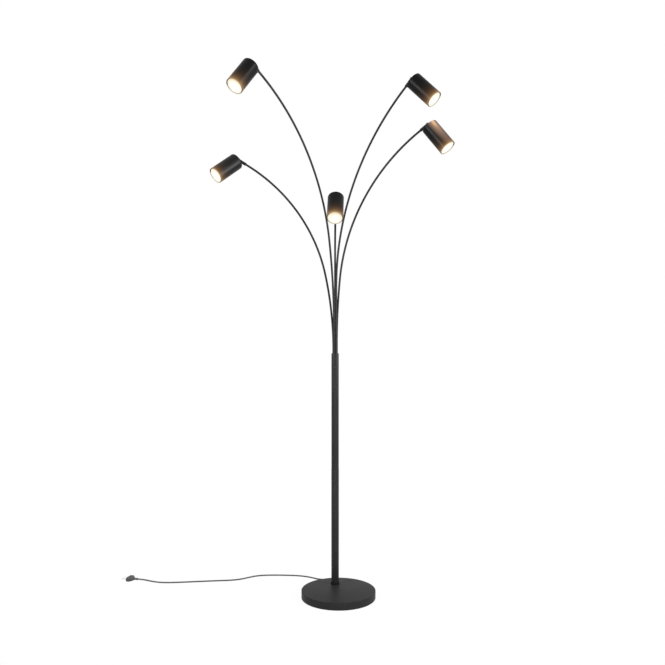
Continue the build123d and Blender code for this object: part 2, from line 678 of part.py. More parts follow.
def plug_frame():
    """The frame at the cord's end: Z along the plug and level, X across it."""
    points = cord_points()
    run = points[-1] - points[-2]
    direction = Vector(run.X, run.Y, run.Z).normalized()
    across = Vector(0, 0, 1).cross(direction)
    return Plane(origin=points[-1], x_dir=across, z_dir=direction)


def plug_body():
    """The flat two-pin plug's moulded body: a round boot, sloping shoulders and a flat face."""
    boot = disc(PLUG_BOOT_DIAMETER / 2, 0, PLUG_BOOT_LENGTH)
    back = PLUG_BOOT_LENGTH
    outline = make_face(
        Polyline(
            [
                (-PLUG_BOOT_DIAMETER / 2, 0, back),
                (PLUG_BOOT_DIAMETER / 2, 0, back),
                (PLUG_WIDTH / 2, 0, back + PLUG_SHOULDER),
                (PLUG_WIDTH / 2, 0, back + PLUG_LENGTH),
                (-PLUG_WIDTH / 2, 0, back + PLUG_LENGTH),
                (-PLUG_WIDTH / 2, 0, back + PLUG_SHOULDER),
            ],
            close=True,
        )
    )
    body = extrude(outline, PLUG_THICKNESS / 2, both=True)
    rims = body.edges().group_by(Axis.Y)
    sides = [edge for edge in rims[0] + rims[-1] if edge.center().Z < back + PLUG_LENGTH - PLUG_CHAMFER / 2]
    body = chamfer(sides, PLUG_CHAMFER)
    return level_plug() * (boot + body)


def level_plug():
    """Where the plug lies: at the cord's end, its flat side down."""
    return plug_frame().location


def plug_pins():
    """The two round pins, let into the plug's face."""
    face = PLUG_BOOT_LENGTH + PLUG_LENGTH
    pin = disc(PLUG_PIN_DIAMETER / 2, face, PLUG_PIN_LENGTH)
    pin = chamfer(pin.edges().group_by(Axis.Z)[-1], PLUG_PIN_DIAMETER / 5)
    pins = [Pos(side * PLUG_PIN_SPACING / 2, 0, 0) * pin for side in (-1, 1)]
    return Compound([level_plug() * pin for pin in pins])


def terminal_block():
    """The screw terminal in the base where the cord meets the arms' wires."""
    block = terminal_body(0, TERMINAL_HEIGHT)
    hole = disc(TERMINAL_SCREW_DIAMETER / 2, 0, TERMINAL_HEIGHT / 2)
    for x_step in (-1, 0, 1):
        for y_step in (-1, 1):
            block -= Pos(x_step * TERMINAL_LENGTH / 3, y_step * TERMINAL_WIDTH / 4, 0) * hole
    return terminal_place() * block


def build_parts():
    """Every node's solid, by name."""
    parts = {
        "base_cover": base_cover(),
        "base_weight": base_weight(),
        "base_plate": base_plate(),
        "base_plate_screws": base_plate_screws(),
        "base_pad": base_pad(),
        "pole_nipple": pole_nipple(),
        "pole_nut": pole_nut(),
        "pole_foot_plug": pole_foot_plug(),
        "pole_collar": pole_collar(),
        "pole_lower": pole_lower(),
        "pole_coupler": pole_coupler(),
        "pole_upper": pole_upper(),
        "arm_holder": arm_holder(),
        "arm_holder_screw": arm_holder_screw(),
        "terminal_block": terminal_block(),
        "cord_relief": cord_relief(),
        "power_cord": power_cord(),
        "plug_body": plug_body(),
        "plug_pins": plug_pins(),
    }
    for shape in ARM_SHAPES:
        parts[f"arm_{shape.name}"] = arm_tube(shape)
        parts[f"arm_tip_{shape.name}"] = arm_tip(shape)
        parts[f"head_yoke_{shape.name}"] = head_yoke(shape)
        parts[f"pivot_screw_{shape.name}"] = pivot_screw(shape)
        parts[f"head_shell_{shape.name}"] = head_shell(shape)
        parts[f"bulb_socket_{shape.name}"] = bulb_socket(shape)
        parts[f"spot_bulb_{shape.name}"] = spot_bulb(shape)
        parts[f"glare_ring_{shape.name}"] = glare_ring(shape)
    return parts


os.makedirs("parts", exist_ok=True)
for part_name, part_shape in build_parts().items():
    export_step(part_shape, f"parts/{part_name}.step")
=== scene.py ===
"""Scene of a tree floor lamp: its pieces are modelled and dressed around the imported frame, in metres."""
import json
import logging
from dataclasses import dataclass, field
from enum import Enum
from math import cos, pi, radians, sin
from typing import Callable, Sequence, Union

import bmesh
import bpy
from mathutils import Matrix, Vector


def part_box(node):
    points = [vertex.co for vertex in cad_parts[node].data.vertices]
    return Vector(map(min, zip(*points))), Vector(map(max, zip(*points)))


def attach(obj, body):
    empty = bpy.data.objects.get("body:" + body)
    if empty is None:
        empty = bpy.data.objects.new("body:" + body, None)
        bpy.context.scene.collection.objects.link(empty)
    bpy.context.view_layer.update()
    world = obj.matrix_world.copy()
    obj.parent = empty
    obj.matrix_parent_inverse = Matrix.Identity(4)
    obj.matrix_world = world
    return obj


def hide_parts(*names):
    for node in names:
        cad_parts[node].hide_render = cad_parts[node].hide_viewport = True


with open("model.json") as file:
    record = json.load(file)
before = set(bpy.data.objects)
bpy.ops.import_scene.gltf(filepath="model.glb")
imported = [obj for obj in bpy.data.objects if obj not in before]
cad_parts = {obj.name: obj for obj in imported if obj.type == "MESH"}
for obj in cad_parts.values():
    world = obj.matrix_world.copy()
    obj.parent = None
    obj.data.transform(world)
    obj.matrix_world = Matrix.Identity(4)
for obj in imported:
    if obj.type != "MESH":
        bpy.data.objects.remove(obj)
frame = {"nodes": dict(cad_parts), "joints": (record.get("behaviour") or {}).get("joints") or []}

LOG = logging.getLogger("floor_lamp")
Colour = tuple[float, float, float]
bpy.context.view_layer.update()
STAND = "stand"
UP = Vector((0, 0, 1))
# Lengths under TOUCHING count as none. A face looks up if its normal's height is over LOOKING_UP.
TOUCHING = 1e-6
LOOKING_UP = 0.9
# How far edges are rounded off, and in how many steps.
PLAIN_EDGE, SMALL_EDGE, FINE_EDGE, CRISP_EDGE = 0.0008, 0.0004, 0.0003, 0.0002
CORNER_STEPS, EDGE_STEPS = 5, 3


# ---------------------------------------------------------------- shader maths
class Number:
    """A shader socket that carries a number, so that shader maths can be written as expressions."""

    def __init__(self, shader: "Shader", socket: bpy.types.NodeSocket) -> None:
        """Wraps a socket of a shader."""
        self.shader = shader
        self.socket = socket

    def _math(self, operation: str, first: "Term", second: "Term") -> "Number":
        """Adds a Math node and wraps its result."""
        node = self.shader.node("ShaderNodeMath", {"operation": operation}, {0: first, 1: second})
        return Number(self.shader, node.outputs[0])

    def __add__(self, other: "Term") -> "Number":
        """Adds a number or a socket."""
        return self._math("ADD", self, other)

    def __mul__(self, other: "Term") -> "Number":
        """Multiplies by a number or a socket."""
        return self._math("MULTIPLY", self, other)

    def __sub__(self, other: "Term") -> "Number":
        """Takes a number or a socket away."""
        return self._math("SUBTRACT", self, other)

    def __rsub__(self, other: "Term") -> "Number":
        """Takes this socket away from a number."""
        return self._math("SUBTRACT", other, self)

    def __pow__(self, other: "Term") -> "Number":
        """Raises this socket to a power."""
        return self._math("POWER", self, other)

    def __rpow__(self, other: "Term") -> "Number":
        """Raises a number to this socket."""
        return self._math("POWER", other, self)

    __radd__ = __add__
    __rmul__ = __mul__


Term = Union[Number, float]
Owner = Union[bpy.types.Material, bpy.types.World]


class Shader:
    """The node tree of one material or world, with the few node groups that the finishes share."""

    def __init__(self, owner: Owner, surface: str = "Principled BSDF") -> None:
        """Takes over the tree of a new material or world, with the shader node that it holds."""
        owner.use_nodes = True
        self.tree = owner.node_tree
        self.surface = self.tree.nodes[surface]

    def node(self, kind: str, settings: dict[str, object], inputs: dict[object, object]) -> bpy.types.Node:
        """Makes a node of any type.

        Args:
            kind: The node's type.
            settings: Its properties, which are set first. A ramp's stops come as "stops".
            inputs: Values or links of its sockets, by name or index.

        Returns:
            The node.
        """
        node = self.tree.nodes.new(kind)
        stops = settings.get("stops")
        for name, value in settings.items():
            if name != "stops":
                setattr(node, name, value)
        if stops:
            self._set_stops(node.color_ramp, stops)
        for key, value in inputs.items():
            self.feed(node.inputs[key], value)
        return node

    @staticmethod
    def _set_stops(ramp: bpy.types.ColorRamp, stops: Sequence[tuple[float, Colour]]) -> None:
        """Puts a ramp's stops in place."""
        while len(ramp.elements) < len(stops):
            ramp.elements.new(1.0)
        for element, (position, colour) in zip(ramp.elements, stops):
            element.position = position
            element.color = (*colour, 1.0)

    def feed(self, socket: bpy.types.NodeSocket, value: object) -> None:
        """Links a socket to a wrapped or plain socket, or sets its value."""
        if isinstance(value, Number):
            self.tree.links.new(value.socket, socket)
        elif isinstance(value, bpy.types.NodeSocket):
            self.tree.links.new(value, socket)
        elif isinstance(value, tuple) and len(value) == 3 and socket.type == "RGBA":
            socket.default_value = (*value, 1.0)
        else:
            socket.default_value = value

    def set(self, **inputs: object) -> None:
        """Sets the surface shader's inputs, with spaces of their names as underscores."""
        for name, value in inputs.items():
            self.feed(self.surface.inputs[name.replace("_", " ")], value)

    def place(self) -> bpy.types.NodeSocket:
        """The surface's place in the lamp's own frame."""
        return self.node("ShaderNodeTexCoord", {}, {}).outputs["Object"]

    def noise(self, per_metre: float, detail: float = 2.0, stretch: Colour = (1.0, 1.0, 1.0)) -> Number:
        """Noise over the surface.

        Args:
            per_metre: How many blotches there are in a metre.
            detail: Its octaves.
            stretch: Its scale along each axis.

        Returns:
            A number that mostly lies between 0.3 and 0.7.
        """
        mapped = self.node("ShaderNodeMapping", {}, {"Vector": self.place(), "Scale": stretch})
        inputs = {"Vector": mapped.outputs[0], "Scale": per_metre, "Detail": detail}
        return Number(self, self.node("ShaderNodeTexNoise", {}, inputs).outputs[0])

    def attribute(self, name: str) -> Number:
        """A number that a piece's mesh carries."""
        return Number(self, self.node("ShaderNodeAttribute", {"attribute_name": name}, {}).outputs["Fac"])

    def blend(self, amount: Term, first: Colour, second: Colour) -> bpy.types.NodeSocket:
        """A colour between two colours."""
        return self.ramp(amount, [(0.0, first), (1.0, second)])

    def ramp(self, amount: Term, stops: Sequence[tuple[float, Colour]]) -> bpy.types.NodeSocket:
        """A colour from a ramp's stops."""
        return self.node("ShaderNodeValToRGB", {"stops": stops}, {"Fac": amount}).outputs["Color"]

    def bump(self, height: Term, depth: float, strength: float = 1.0) -> None:
        """Feeds the shader's normal from a height."""
        node = self.node("ShaderNodeBump", {}, {"Height": height, "Distance": depth, "Strength": strength})
        self.set(Normal=node.outputs["Normal"])

    def background_rays(self) -> Number:
        """1 for rays that show the background, which are straight, mirrored or through glass, or else 0."""
        path = self.node("ShaderNodeLightPath", {}, {}).outputs
        names = ("Is Camera Ray", "Is Glossy Ray", "Is Transmission Ray")
        straight, mirrored, through = (Number(self, path[name]) for name in names)
        limited = self.node("ShaderNodeClamp", {}, {"Value": straight + mirrored + through})
        return Number(self, limited.outputs[0])


# ---------------------------------------------------------------- finishes
@dataclass(frozen=True)
class Finish:
    """What all finishes share: the material's name, the record's slot and the main colour."""

    name: str
    slot: str
    colour: Colour
    roughness: float = 0.5

    def material(self) -> bpy.types.Material:
        """The finish's material, made once."""
        made = bpy.data.materials.get(self.name)
        if not made:
            made = bpy.data.materials.new(self.name)
            self.paint(Shader(made))
        return made

    def tinted(self, factor: float) -> Colour:
        """The main colour made lighter or darker by a factor."""
        return tuple(min(channel * factor, 1.0) for channel in self.colour)

    def shine(self, mask: Number, spread: float, below: float) -> Number:
        """The roughness, varied by a mask over a spread that starts some way below it."""
        return mask * spread + (self.roughness - below)

    def paint(self, shader: Shader) -> None:
        """Sets the shader up. Each finish does this in its own way."""
        raise NotImplementedError


@dataclass(frozen=True)
class PowderCoat(Finish):
    """Satin black powder coat: a fine orange peel, faint clouding and slightly worn highlights."""

    sheen: float = 0.1
    peel: float = 0.00003

    def paint(self, shader: Shader) -> None:
        """Clouds the colour and the roughness, and raises the peel."""
        cloud, peel = shader.noise(22.0), shader.noise(1400.0, detail=3.0)
        shader.set(
            Base_Color=shader.blend(cloud, self.colour, self.tinted(1.3)),
            Roughness=self.shine(cloud, spread=0.12, below=0.06),
            Specular_IOR_Level=self.sheen,
        )
        shader.bump(peel, self.peel, strength=0.5)


# Emission colours of painted light on the heads' coats: the bulb's glow near the mouth, a neighbour head's
# light, and the light caught on the lip.
PAINTED_LIGHT_TONES = {
    "nearness": (
        (0.35, (0.0, 0.0, 0.0)),
        (0.52, (0.007, 0.0033, 0.0012)),
        (0.65, (0.022, 0.0105, 0.004)),
        (0.75, (0.05, 0.024, 0.009)),
        (0.85, (0.11, 0.055, 0.02)),
        (0.92, (0.185, 0.099, 0.037)),
        (0.97, (0.39, 0.24, 0.11)),
        (1.0, (0.6, 0.42, 0.23)),
    ),
    "wash": (
        (0.02, (0.0, 0.0, 0.0)),
        (0.1, (0.09, 0.06, 0.045)),
        (0.2, (0.16, 0.108, 0.08)),
        (0.45, (0.3, 0.18, 0.115)),
        (0.69, (0.467, 0.28, 0.17)),
        (0.8, (0.73, 0.455, 0.26)),
        (1.0, (0.9, 0.6, 0.36)),
    ),
    "lip": (
        (0.0, (0.64, 0.57, 0.44)),
        (0.25, (0.42, 0.37, 0.28)),
        (0.36, (0.02, 0.016, 0.01)),
        (0.5, (0.0, 0.0, 0.0)),
        (0.75, (0.06, 0.035, 0.015)),
        (1.0, (0.6, 0.43, 0.25)),
    ),
}


@dataclass(frozen=True)
class PaintedLightCoat(PowderCoat):
    """The heads' coat with painted light: a glow, as of the light leaving a mouth, is painted on the metal
    round it, more towards the lip.
    """

    def paint(self, shader: Shader) -> None:
        """Adds painted light as emission: a glow near the head's own mouth, a neighbour head's light and the
        light caught on the lip.
        """
        super().paint(shader)
        painted_light = [shader.ramp(shader.attribute(name), stops) for name, stops in PAINTED_LIGHT_TONES.items()]
        total = painted_light[0]
        for more in painted_light[1:]:
            added = shader.node("ShaderNodeVectorMath", {"operation": "ADD"}, {0: total, 1: more})
            total = added.outputs[0]
        shader.set(Emission_Color=total, Emission_Strength=1.0)


@dataclass(frozen=True)
class Casting(Finish):
    """Raw iron: a coarse, uneven skin."""

    def paint(self, shader: Shader) -> None:
        """Mottles the colour and pits the surface."""
        mottle, pits = shader.noise(60.0, detail=4.0), shader.noise(500.0, detail=4.0)
        shader.set(Base_Color=shader.blend(mottle, self.tinted(0.6), self.colour), Metallic=0.7)
        shader.set(Roughness=self.shine(pits, spread=0.2, below=0.0))
        shader.bump(pits, depth=0.0003)


@dataclass(frozen=True)
class Plating(Finish):
    """Plated or blackened steel and brass: fine drawn lines with a little clouding."""

    metallic: float = 1.0

    def paint(self, shader: Shader) -> None:
        """Draws the lines along the height and clouds the shine."""
        lines, cloud = shader.noise(300.0, stretch=(4.0, 4.0, 0.4)), shader.noise(80.0)
        shader.set(Base_Color=shader.blend(cloud, self.tinted(0.8), self.colour), Metallic=self.metallic)
        shader.set(Roughness=self.shine(lines, spread=0.15, below=0.07))
        shader.bump(lines, depth=0.00002, strength=0.4)


@dataclass(frozen=True)
class Foam(Finish):
    """Closed-cell foam: small soft pits."""

    def paint(self, shader: Shader) -> None:
        """Pits the surface with cells."""
        cells = shader.node("ShaderNodeTexVoronoi", {}, {"Vector": shader.place(), "Scale": 900.0})
        depth = Number(shader, cells.outputs["Distance"])
        shader.set(Base_Color=shader.blend(depth, self.tinted(1.6), self.colour), Roughness=self.roughness)
        shader.bump(1.0 - depth, depth=0.0003)


@dataclass(frozen=True)
class Moulding(Finish):
    """Moulded plastic: a fine spark-eroded texture."""

    texture: float = 0.00004

    def paint(self, shader: Shader) -> None:
        """Grains the surface and varies the shine a little."""
        grain, cloud = shader.noise(1800.0), shader.noise(40.0)
        shader.set(Base_Color=shader.blend(cloud, self.colour, self.tinted(1.25)))
        shader.set(Roughness=self.shine(cloud, spread=0.1, below=0.05))
        shader.bump(grain, self.texture, strength=0.6)


@dataclass(frozen=True)
class Porcelain(Finish):
    """Unglazed ceramic: even, with faint specks."""

    def paint(self, shader: Shader) -> None:
        """Specks the colour and roughens the surface."""
        specks = shader.noise(700.0, detail=3.0) ** 3.0
        speck_colour = (0.5, 0.45, 0.36)
        shader.set(Base_Color=shader.blend(specks, self.colour, speck_colour), Roughness=self.roughness)
        shader.bump(specks, depth=0.00006)


@dataclass(frozen=True)
class LitSurface(Finish):
    """A surface that the lit bulb makes glow: its lens or its bowl."""

    glow: tuple[tuple[float, Colour], ...] = ()
    sheen: float = 0.2

    def paint(self, shader: Shader) -> None:
        """Makes it glow, in tones that run over the surface as its mesh says."""
        ripple = shader.noise(260.0, detail=1.0)
        shader.set(
            Base_Color=shader.blend(ripple, self.colour, self.tinted(1.2)),
            Emission_Color=shader.ramp(shader.attribute("nearness"), self.glow),
            Emission_Strength=1.0,
            Roughness=self.roughness,
            Specular_IOR_Level=self.sheen,
        )
        shader.bump(ripple, depth=0.0002, strength=0.3)


LENS_TONES = (
    (0.0, (0.6, 0.43, 0.27)),
    (0.1, (0.71, 0.56, 0.37)),
    (0.2, (0.84, 0.72, 0.52)),
    (0.35, (0.94, 0.87, 0.71)),
    (0.6, (0.95, 0.95, 0.88)),
)
BOWL_TONES = ((0.0, (0.1, 0.085, 0.06)), (1.0, (0.15, 0.14, 0.12)))
COAT_SLOT = "satin_black_metal"
HEAD_BLACK = (0.004, 0.004, 0.0042)
BLACK_COAT = PowderCoat("powder_coat_black", COAT_SLOT, (0.0145, 0.0145, 0.015), 0.47, 0.06)
DARK_COAT = PowderCoat("powder_coat_dark", COAT_SLOT, (0.0055, 0.0055, 0.0057), 0.4, 0.045)
TUBE_COAT = PowderCoat("powder_coat_tubes", COAT_SLOT, (0.0125, 0.0125, 0.013), 0.4, 0.12, 0.00001)
# These coats carry painted light as emission, placed by the marks on each piece.
HEAD_COAT = PaintedLightCoat("powder_coat_heads", COAT_SLOT, HEAD_BLACK, 0.36, 0.055)
LIT_HEAD_COAT = PaintedLightCoat("powder_coat_facing_the_lamp", COAT_SLOT, HEAD_BLACK, 0.43, 0.14)
RING_COAT = PaintedLightCoat("powder_coat_rings", COAT_SLOT, (0.016, 0.0155, 0.012), 0.5, 0.05)
IRON = Casting("raw_iron", "grey_iron", (0.17, 0.17, 0.175), 0.6)
ZINC = Plating("zinc_plate", "zinc_steel", (0.62, 0.63, 0.64), 0.36)
FOAM = Foam("foam_pad", "black_foam", (0.03, 0.03, 0.03), 0.9)
BLACK_PLASTIC = Moulding("moulded_black", "black_plastic", (0.026, 0.026, 0.028), 0.5)
SHEATH = Moulding("cord_sheath", "black_cord", (0.022, 0.022, 0.024), 0.45, 0.00001)
NICKEL = Plating("nickel_pins", "nickel_brass", (0.78, 0.76, 0.71), 0.25)
CREAM_PLASTIC = Moulding("moulded_cream", "cream_plastic", (0.8, 0.77, 0.68), 0.5)
CERAMIC = Porcelain("ceramic_holder", "ivory_ceramic", (0.85, 0.82, 0.74), 0.6)
LIT_LENS = LitSurface("lit_lens", "bulb_glass", (0.05, 0.05, 0.048), 0.4, LENS_TONES)
LIT_BOWL = LitSurface("bulb_bowl", "bulb_glass", (0.8, 0.78, 0.74), 0.3, BOWL_TONES, 0.5)
BLACK_SCREW = Plating("black_oxide", "black_screw", (0.035, 0.035, 0.037), 0.4, 0.8)


# ---------------------------------------------------------------- modelling
@dataclass(frozen=True)
class Corner:
    """A corner of a turned outline: its radius, its height and how far it is rounded off."""

    radius: float
    height: float
    rounding: float = 0.0


class Outline(Enum):
    """Whether a turned outline is a line that starts and ends on the axis, or a loop round a wall."""

    ON_AXIS = "on_axis"
    LOOP = "loop"


def closed(*corners: Corner) -> list[Corner]:
    """An outline's corners with both of its ends led level to the axis."""
    return [Corner(0.0, corners[0].height), *corners, Corner(0.0, corners[-1].height)]


class Piece:
    """One piece while it is modelled: shapes are added around the Z axis, each put in its place."""

    def __init__(self, name: str, place: Matrix = Matrix.Identity(4)) -> None:
        """Starts an empty piece whose shapes are all moved by a place."""
        self.name = name
        self.place = place
        self.mesh = bmesh.new()

    def add(self, work: bmesh.types.BMesh, place: Matrix = Matrix.Identity(4)) -> "Piece":
        """Adds a shape to the piece, with its faces turned outwards."""
        bmesh.ops.recalc_face_normals(work, faces=work.faces[:])
        work.transform(self.place @ place)
        carrier = bpy.data.meshes.new("carrier")
        work.to_mesh(carrier)
        work.free()
        self.mesh.from_mesh(carrier)
        bpy.data.meshes.remove(carrier)
        return self

    def turned(
        self,
        corners: Sequence[Corner],
        kind: Outline = Outline.ON_AXIS,
        steps: int = 96,
        place: Matrix = Matrix.Identity(4),
        cuts: Sequence[float] = (),
    ) -> "Piece":
        """Adds a shape turned about the Z axis.

        Args:
            corners: The outline's corners in order.
            kind: Whether the outline closes on itself.
            steps: The number of facets round the axis.
            place: Where the shape goes within the piece.
            cuts: Heights at which the walls get an extra ring.

        Returns:
            The piece.
        """
        work = bmesh.new()
        verts = [work.verts.new((corner.radius, 0.0, corner.height)) for corner in corners]
        ends = verts[1:] + (verts[:1] if kind is Outline.LOOP else [])
        for first, second in zip(verts, ends):
            work.edges.new((first, second))
        for vert, corner in zip(verts, corners):
            if corner.rounding > 0:
                self.rounded(work, [vert], corner.rounding, CORNER_STEPS, "VERTICES")
        outline = work.verts[:] + work.edges[:]
        centre = UP * 0.0
        bmesh.ops.spin(work, geom=outline, cent=centre, axis=UP, angle=2 * pi, steps=steps, use_merge=True)
        bmesh.ops.remove_doubles(work, verts=work.verts[:], dist=TOUCHING / 10)
        for height in cuts:
            self.ring_cut(work, UP * height, UP)
        return self.add(work, place)

    def sleeve(
        self, radii: tuple[float, float], ends: tuple[float, float], edges: Sequence[float], steps: int = 96
    ) -> "Piece":
        """Adds a tube's wall.

        Args:
            radii: The wall's outer and inner radius.
            ends: The heights of its bottom and top.
            edges: How far it is rounded outside at the bottom, outside at the top, and inside at the top.
            steps: The number of facets round the axis.

        Returns:
            The piece.
        """
        outer, inner = radii
        low, high = ends
        outline = [
            Corner(outer, low, edges[0]),
            Corner(outer, high, edges[1]),
            Corner(inner, high, edges[2]),
            Corner(inner, low),
        ]
        return self.turned(outline, Outline.LOOP, steps)

    def block(self, size: Sequence[float], bevel: float, place: Matrix) -> "Piece":
        """Adds a block with its edges rounded, centred on its place."""
        work = bmesh.new()
        bmesh.ops.create_cube(work, size=1.0)
        bmesh.ops.scale(work, vec=Vector(size), verts=work.verts[:])
        self.rounded(work, work.edges[:], bevel)
        return self.add(work, place)

    def lug(self, radius: float, length: float, thickness: float, bevel: float, place: Matrix) -> "Piece":
        """Adds a flat lug, round at one end.

        Args:
            radius: The radius of its round end, which is centred on its place.
            length: How far its straight end is from that centre, along Y.
            thickness: Its thickness along Z, shared between both sides of its place.
            bevel: How far its edges are rounded.
            place: Where it goes within the piece.

        Returns:
            The piece.
        """
        work = bmesh.new()
        bmesh.ops.create_circle(work, cap_ends=True, segments=48, radius=radius)
        bmesh.ops.translate(work, vec=UP * (-thickness / 2), verts=work.verts[:])
        lower = [vert for vert in work.verts if vert.co.y > TOUCHING]
        for vert in lower:
            vert.co.y = length
        nearly_all = 0.98
        side_to_side = [vert for vert in lower if abs(vert.co.x) < radius * nearly_all]
        bmesh.ops.dissolve_verts(work, verts=side_to_side)
        for vert in work.verts:
            if vert.co.y > length - TOUCHING:
                vert.co.x = radius if vert.co.x > 0 else -radius
        raised = bmesh.ops.extrude_face_region(work, geom=work.faces[:])["geom"]
        moved = [item for item in raised if isinstance(item, bmesh.types.BMVert)]
        bmesh.ops.translate(work, vec=UP * thickness, verts=moved)
        self.rounded(work, self.level_edges(work), bevel)
        return self.add(work, place)

    def prism(self, sides: int, radius: float, depth: float, bevel: float, place: Matrix) -> "Piece":
        """Adds an upright prism that stands on its place, with its ends' edges rounded."""
        work = self.cylinder(sides, radius, depth)
        bmesh.ops.translate(work, vec=UP * (depth / 2), verts=work.verts[:])
        self.rounded(work, self.level_edges(work), bevel)
        return self.add(work, place)

    @staticmethod
    def cylinder(sides: int, radius: float, depth: float) -> bmesh.types.BMesh:
        """A closed upright cylinder with its middle at the origin."""
        work = bmesh.new()
        ends = {"radius1": radius, "radius2": radius, "cap_ends": True}
        bmesh.ops.create_cone(work, segments=sides, depth=depth, **ends)
        return work

    @staticmethod
    def level_edges(work: bmesh.types.BMesh) -> list[bmesh.types.BMEdge]:
        """The edges that run level."""
        return [edge for edge in work.edges if abs(edge.verts[0].co.z - edge.verts[1].co.z) < TOUCHING]

    @staticmethod
    def rounded(
        work: bmesh.types.BMesh,
        items: Sequence[object],
        offset: float,
        steps: int = EDGE_STEPS,
        affect: str = "EDGES",
    ) -> None:
        """Rounds edges or points off, unless the offset is 0."""
        if offset > 0:
            bmesh.ops.bevel(
                work,
                geom=list(items),
                offset=offset,
                segments=steps,
                profile=0.5,
                affect=affect,
                material=-1,
            )

    @staticmethod
    def ring_cut(work: bmesh.types.BMesh, point: Vector, normal: Vector) -> None:
        """Adds edges where a plane crosses the shape."""
        everything = work.verts[:] + work.edges[:] + work.faces[:]
        bmesh.ops.bisect_plane(work, geom=everything, plane_co=point, plane_no=normal)

    @staticmethod
    def sink(work: bmesh.types.BMesh, faces: Sequence[bmesh.types.BMFace], depth: float) -> None:
        """Pushes faces down, with walls round them."""
        sunk = bmesh.ops.extrude_discrete_faces(work, faces=faces)["faces"]
        deep = list(dict.fromkeys(vert for face in sunk for vert in face.verts))
        bmesh.ops.translate(work, vec=UP * -depth, verts=deep)

    def finished(
        self, finish: Finish, body: str, stands_for: Sequence[str] = (), sharp_degrees: float = 32.0
    ) -> bpy.types.Object:
        """Turns the piece into an object.

        Args:
            finish: What it is made of.
            body: The body that it rides on.
            stands_for: The nodes that it replaces.
            sharp_degrees: The angle from which an edge is shaded sharp.

        Returns:
            The object, whose place is in its mesh.
        """
        data = bpy.data.meshes.new(self.name)
        self.mesh.to_mesh(data)
        self.mesh.free()
        data.shade_smooth()
        data.set_sharp_from_angle(angle=radians(sharp_degrees))
        data.materials.append(finish.material())
        made = bpy.data.objects.new(self.name, data)
        bpy.context.scene.collection.objects.link(made)
        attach(made, body)
        if stands_for:
            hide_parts(*stands_for)
        LOG.info("piece %s rides on %s", made.name, body)
        return made


def mark(made: bpy.types.Object, name: str, amount: Callable[[bpy.types.MeshVertex], float]) -> None:
    """Writes a number from 0 to 1 on each point of a piece.

    Args:
        made: The piece.
        name: The attribute's name.
        amount: Gives the number for a point.
    """
    attribute = made.data.attributes.new(name, "FLOAT", "POINT")
    for vertex, value in zip(made.data.vertices, attribute.data):
        value.value = min(max(amount(vertex), 0.0), 1.0)


def dress_node(node: str, finish: Finish) -> None:
    """Gives a carried-over node its finish."""
    made = frame["nodes"][node]
    made.data.materials.clear()
    made.data.materials.append(finish.material())
    LOG.info("node %s keeps its own shape", node)


def along_axes(origin: Vector, x_axis: Vector, z_axis: Vector) -> Matrix:
    """The frame with these two axes at a point."""
    y_axis = z_axis.cross(x_axis).normalized()
    x_axis = y_axis.cross(z_axis).normalized()
    turn = Matrix((x_axis, y_axis, z_axis.normalized())).transposed()
    return Matrix.Translation(origin) @ turn.to_4x4()


def joint(name: str) -> tuple[Vector, Vector]:
    """A joint's place and axis at rest."""
    found = next(entry for entry in frame["joints"] if entry["name"] == name)
    return Vector(found["pos_m"]), Vector(found["axis"]).normalized()


def standing(origin: Sequence[float], straight_end: int) -> Matrix:
    """The place of a lug that lies across the X axis, with its straight end up (1) or down (-1)."""
    turn = Matrix.Rotation(-straight_end * pi / 2, 4, "Y") @ Matrix.Rotation(-pi / 2, 4, "Z")
    return Matrix.Translation(origin) @ turn


def node_middle(node: str) -> Vector:
    """The middle of a node's box."""
    low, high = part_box(node)
    return (low + high) / 2


# ---------------------------------------------------------------- base and pole
@dataclass
class Base:
    """The round base: a pressed shell over an iron disc, on a foam pad."""

    radius: float = 0.124
    height: float = 0.026
    wall: float = 0.0012
    lift: float = 0.0012
    edge: float = 0.0014
    hem_share: float = 0.4

    def build(self) -> None:
        """Models the shell and dresses what it covers."""
        inner, roof, hem = self.radius - self.wall, self.height - self.wall, self.wall * self.hem_share
        outline = closed(
            Corner(self.radius, self.height, self.edge),
            Corner(self.radius, self.lift, hem),
            Corner(inner, self.lift, hem),
            Corner(inner, roof),
        )
        shell = Piece("base_shell")
        shell.turned(outline, steps=192)
        shell.finished(BLACK_COAT, STAND, ["base_cover"])
        for node, finish in {
            "base_weight": IRON,
            "base_plate": ZINC,
            "base_plate_screws": ZINC,
            "base_pad": FOAM,
            "terminal_block": CREAM_PLASTIC,
        }.items():
            dress_node(node, finish)


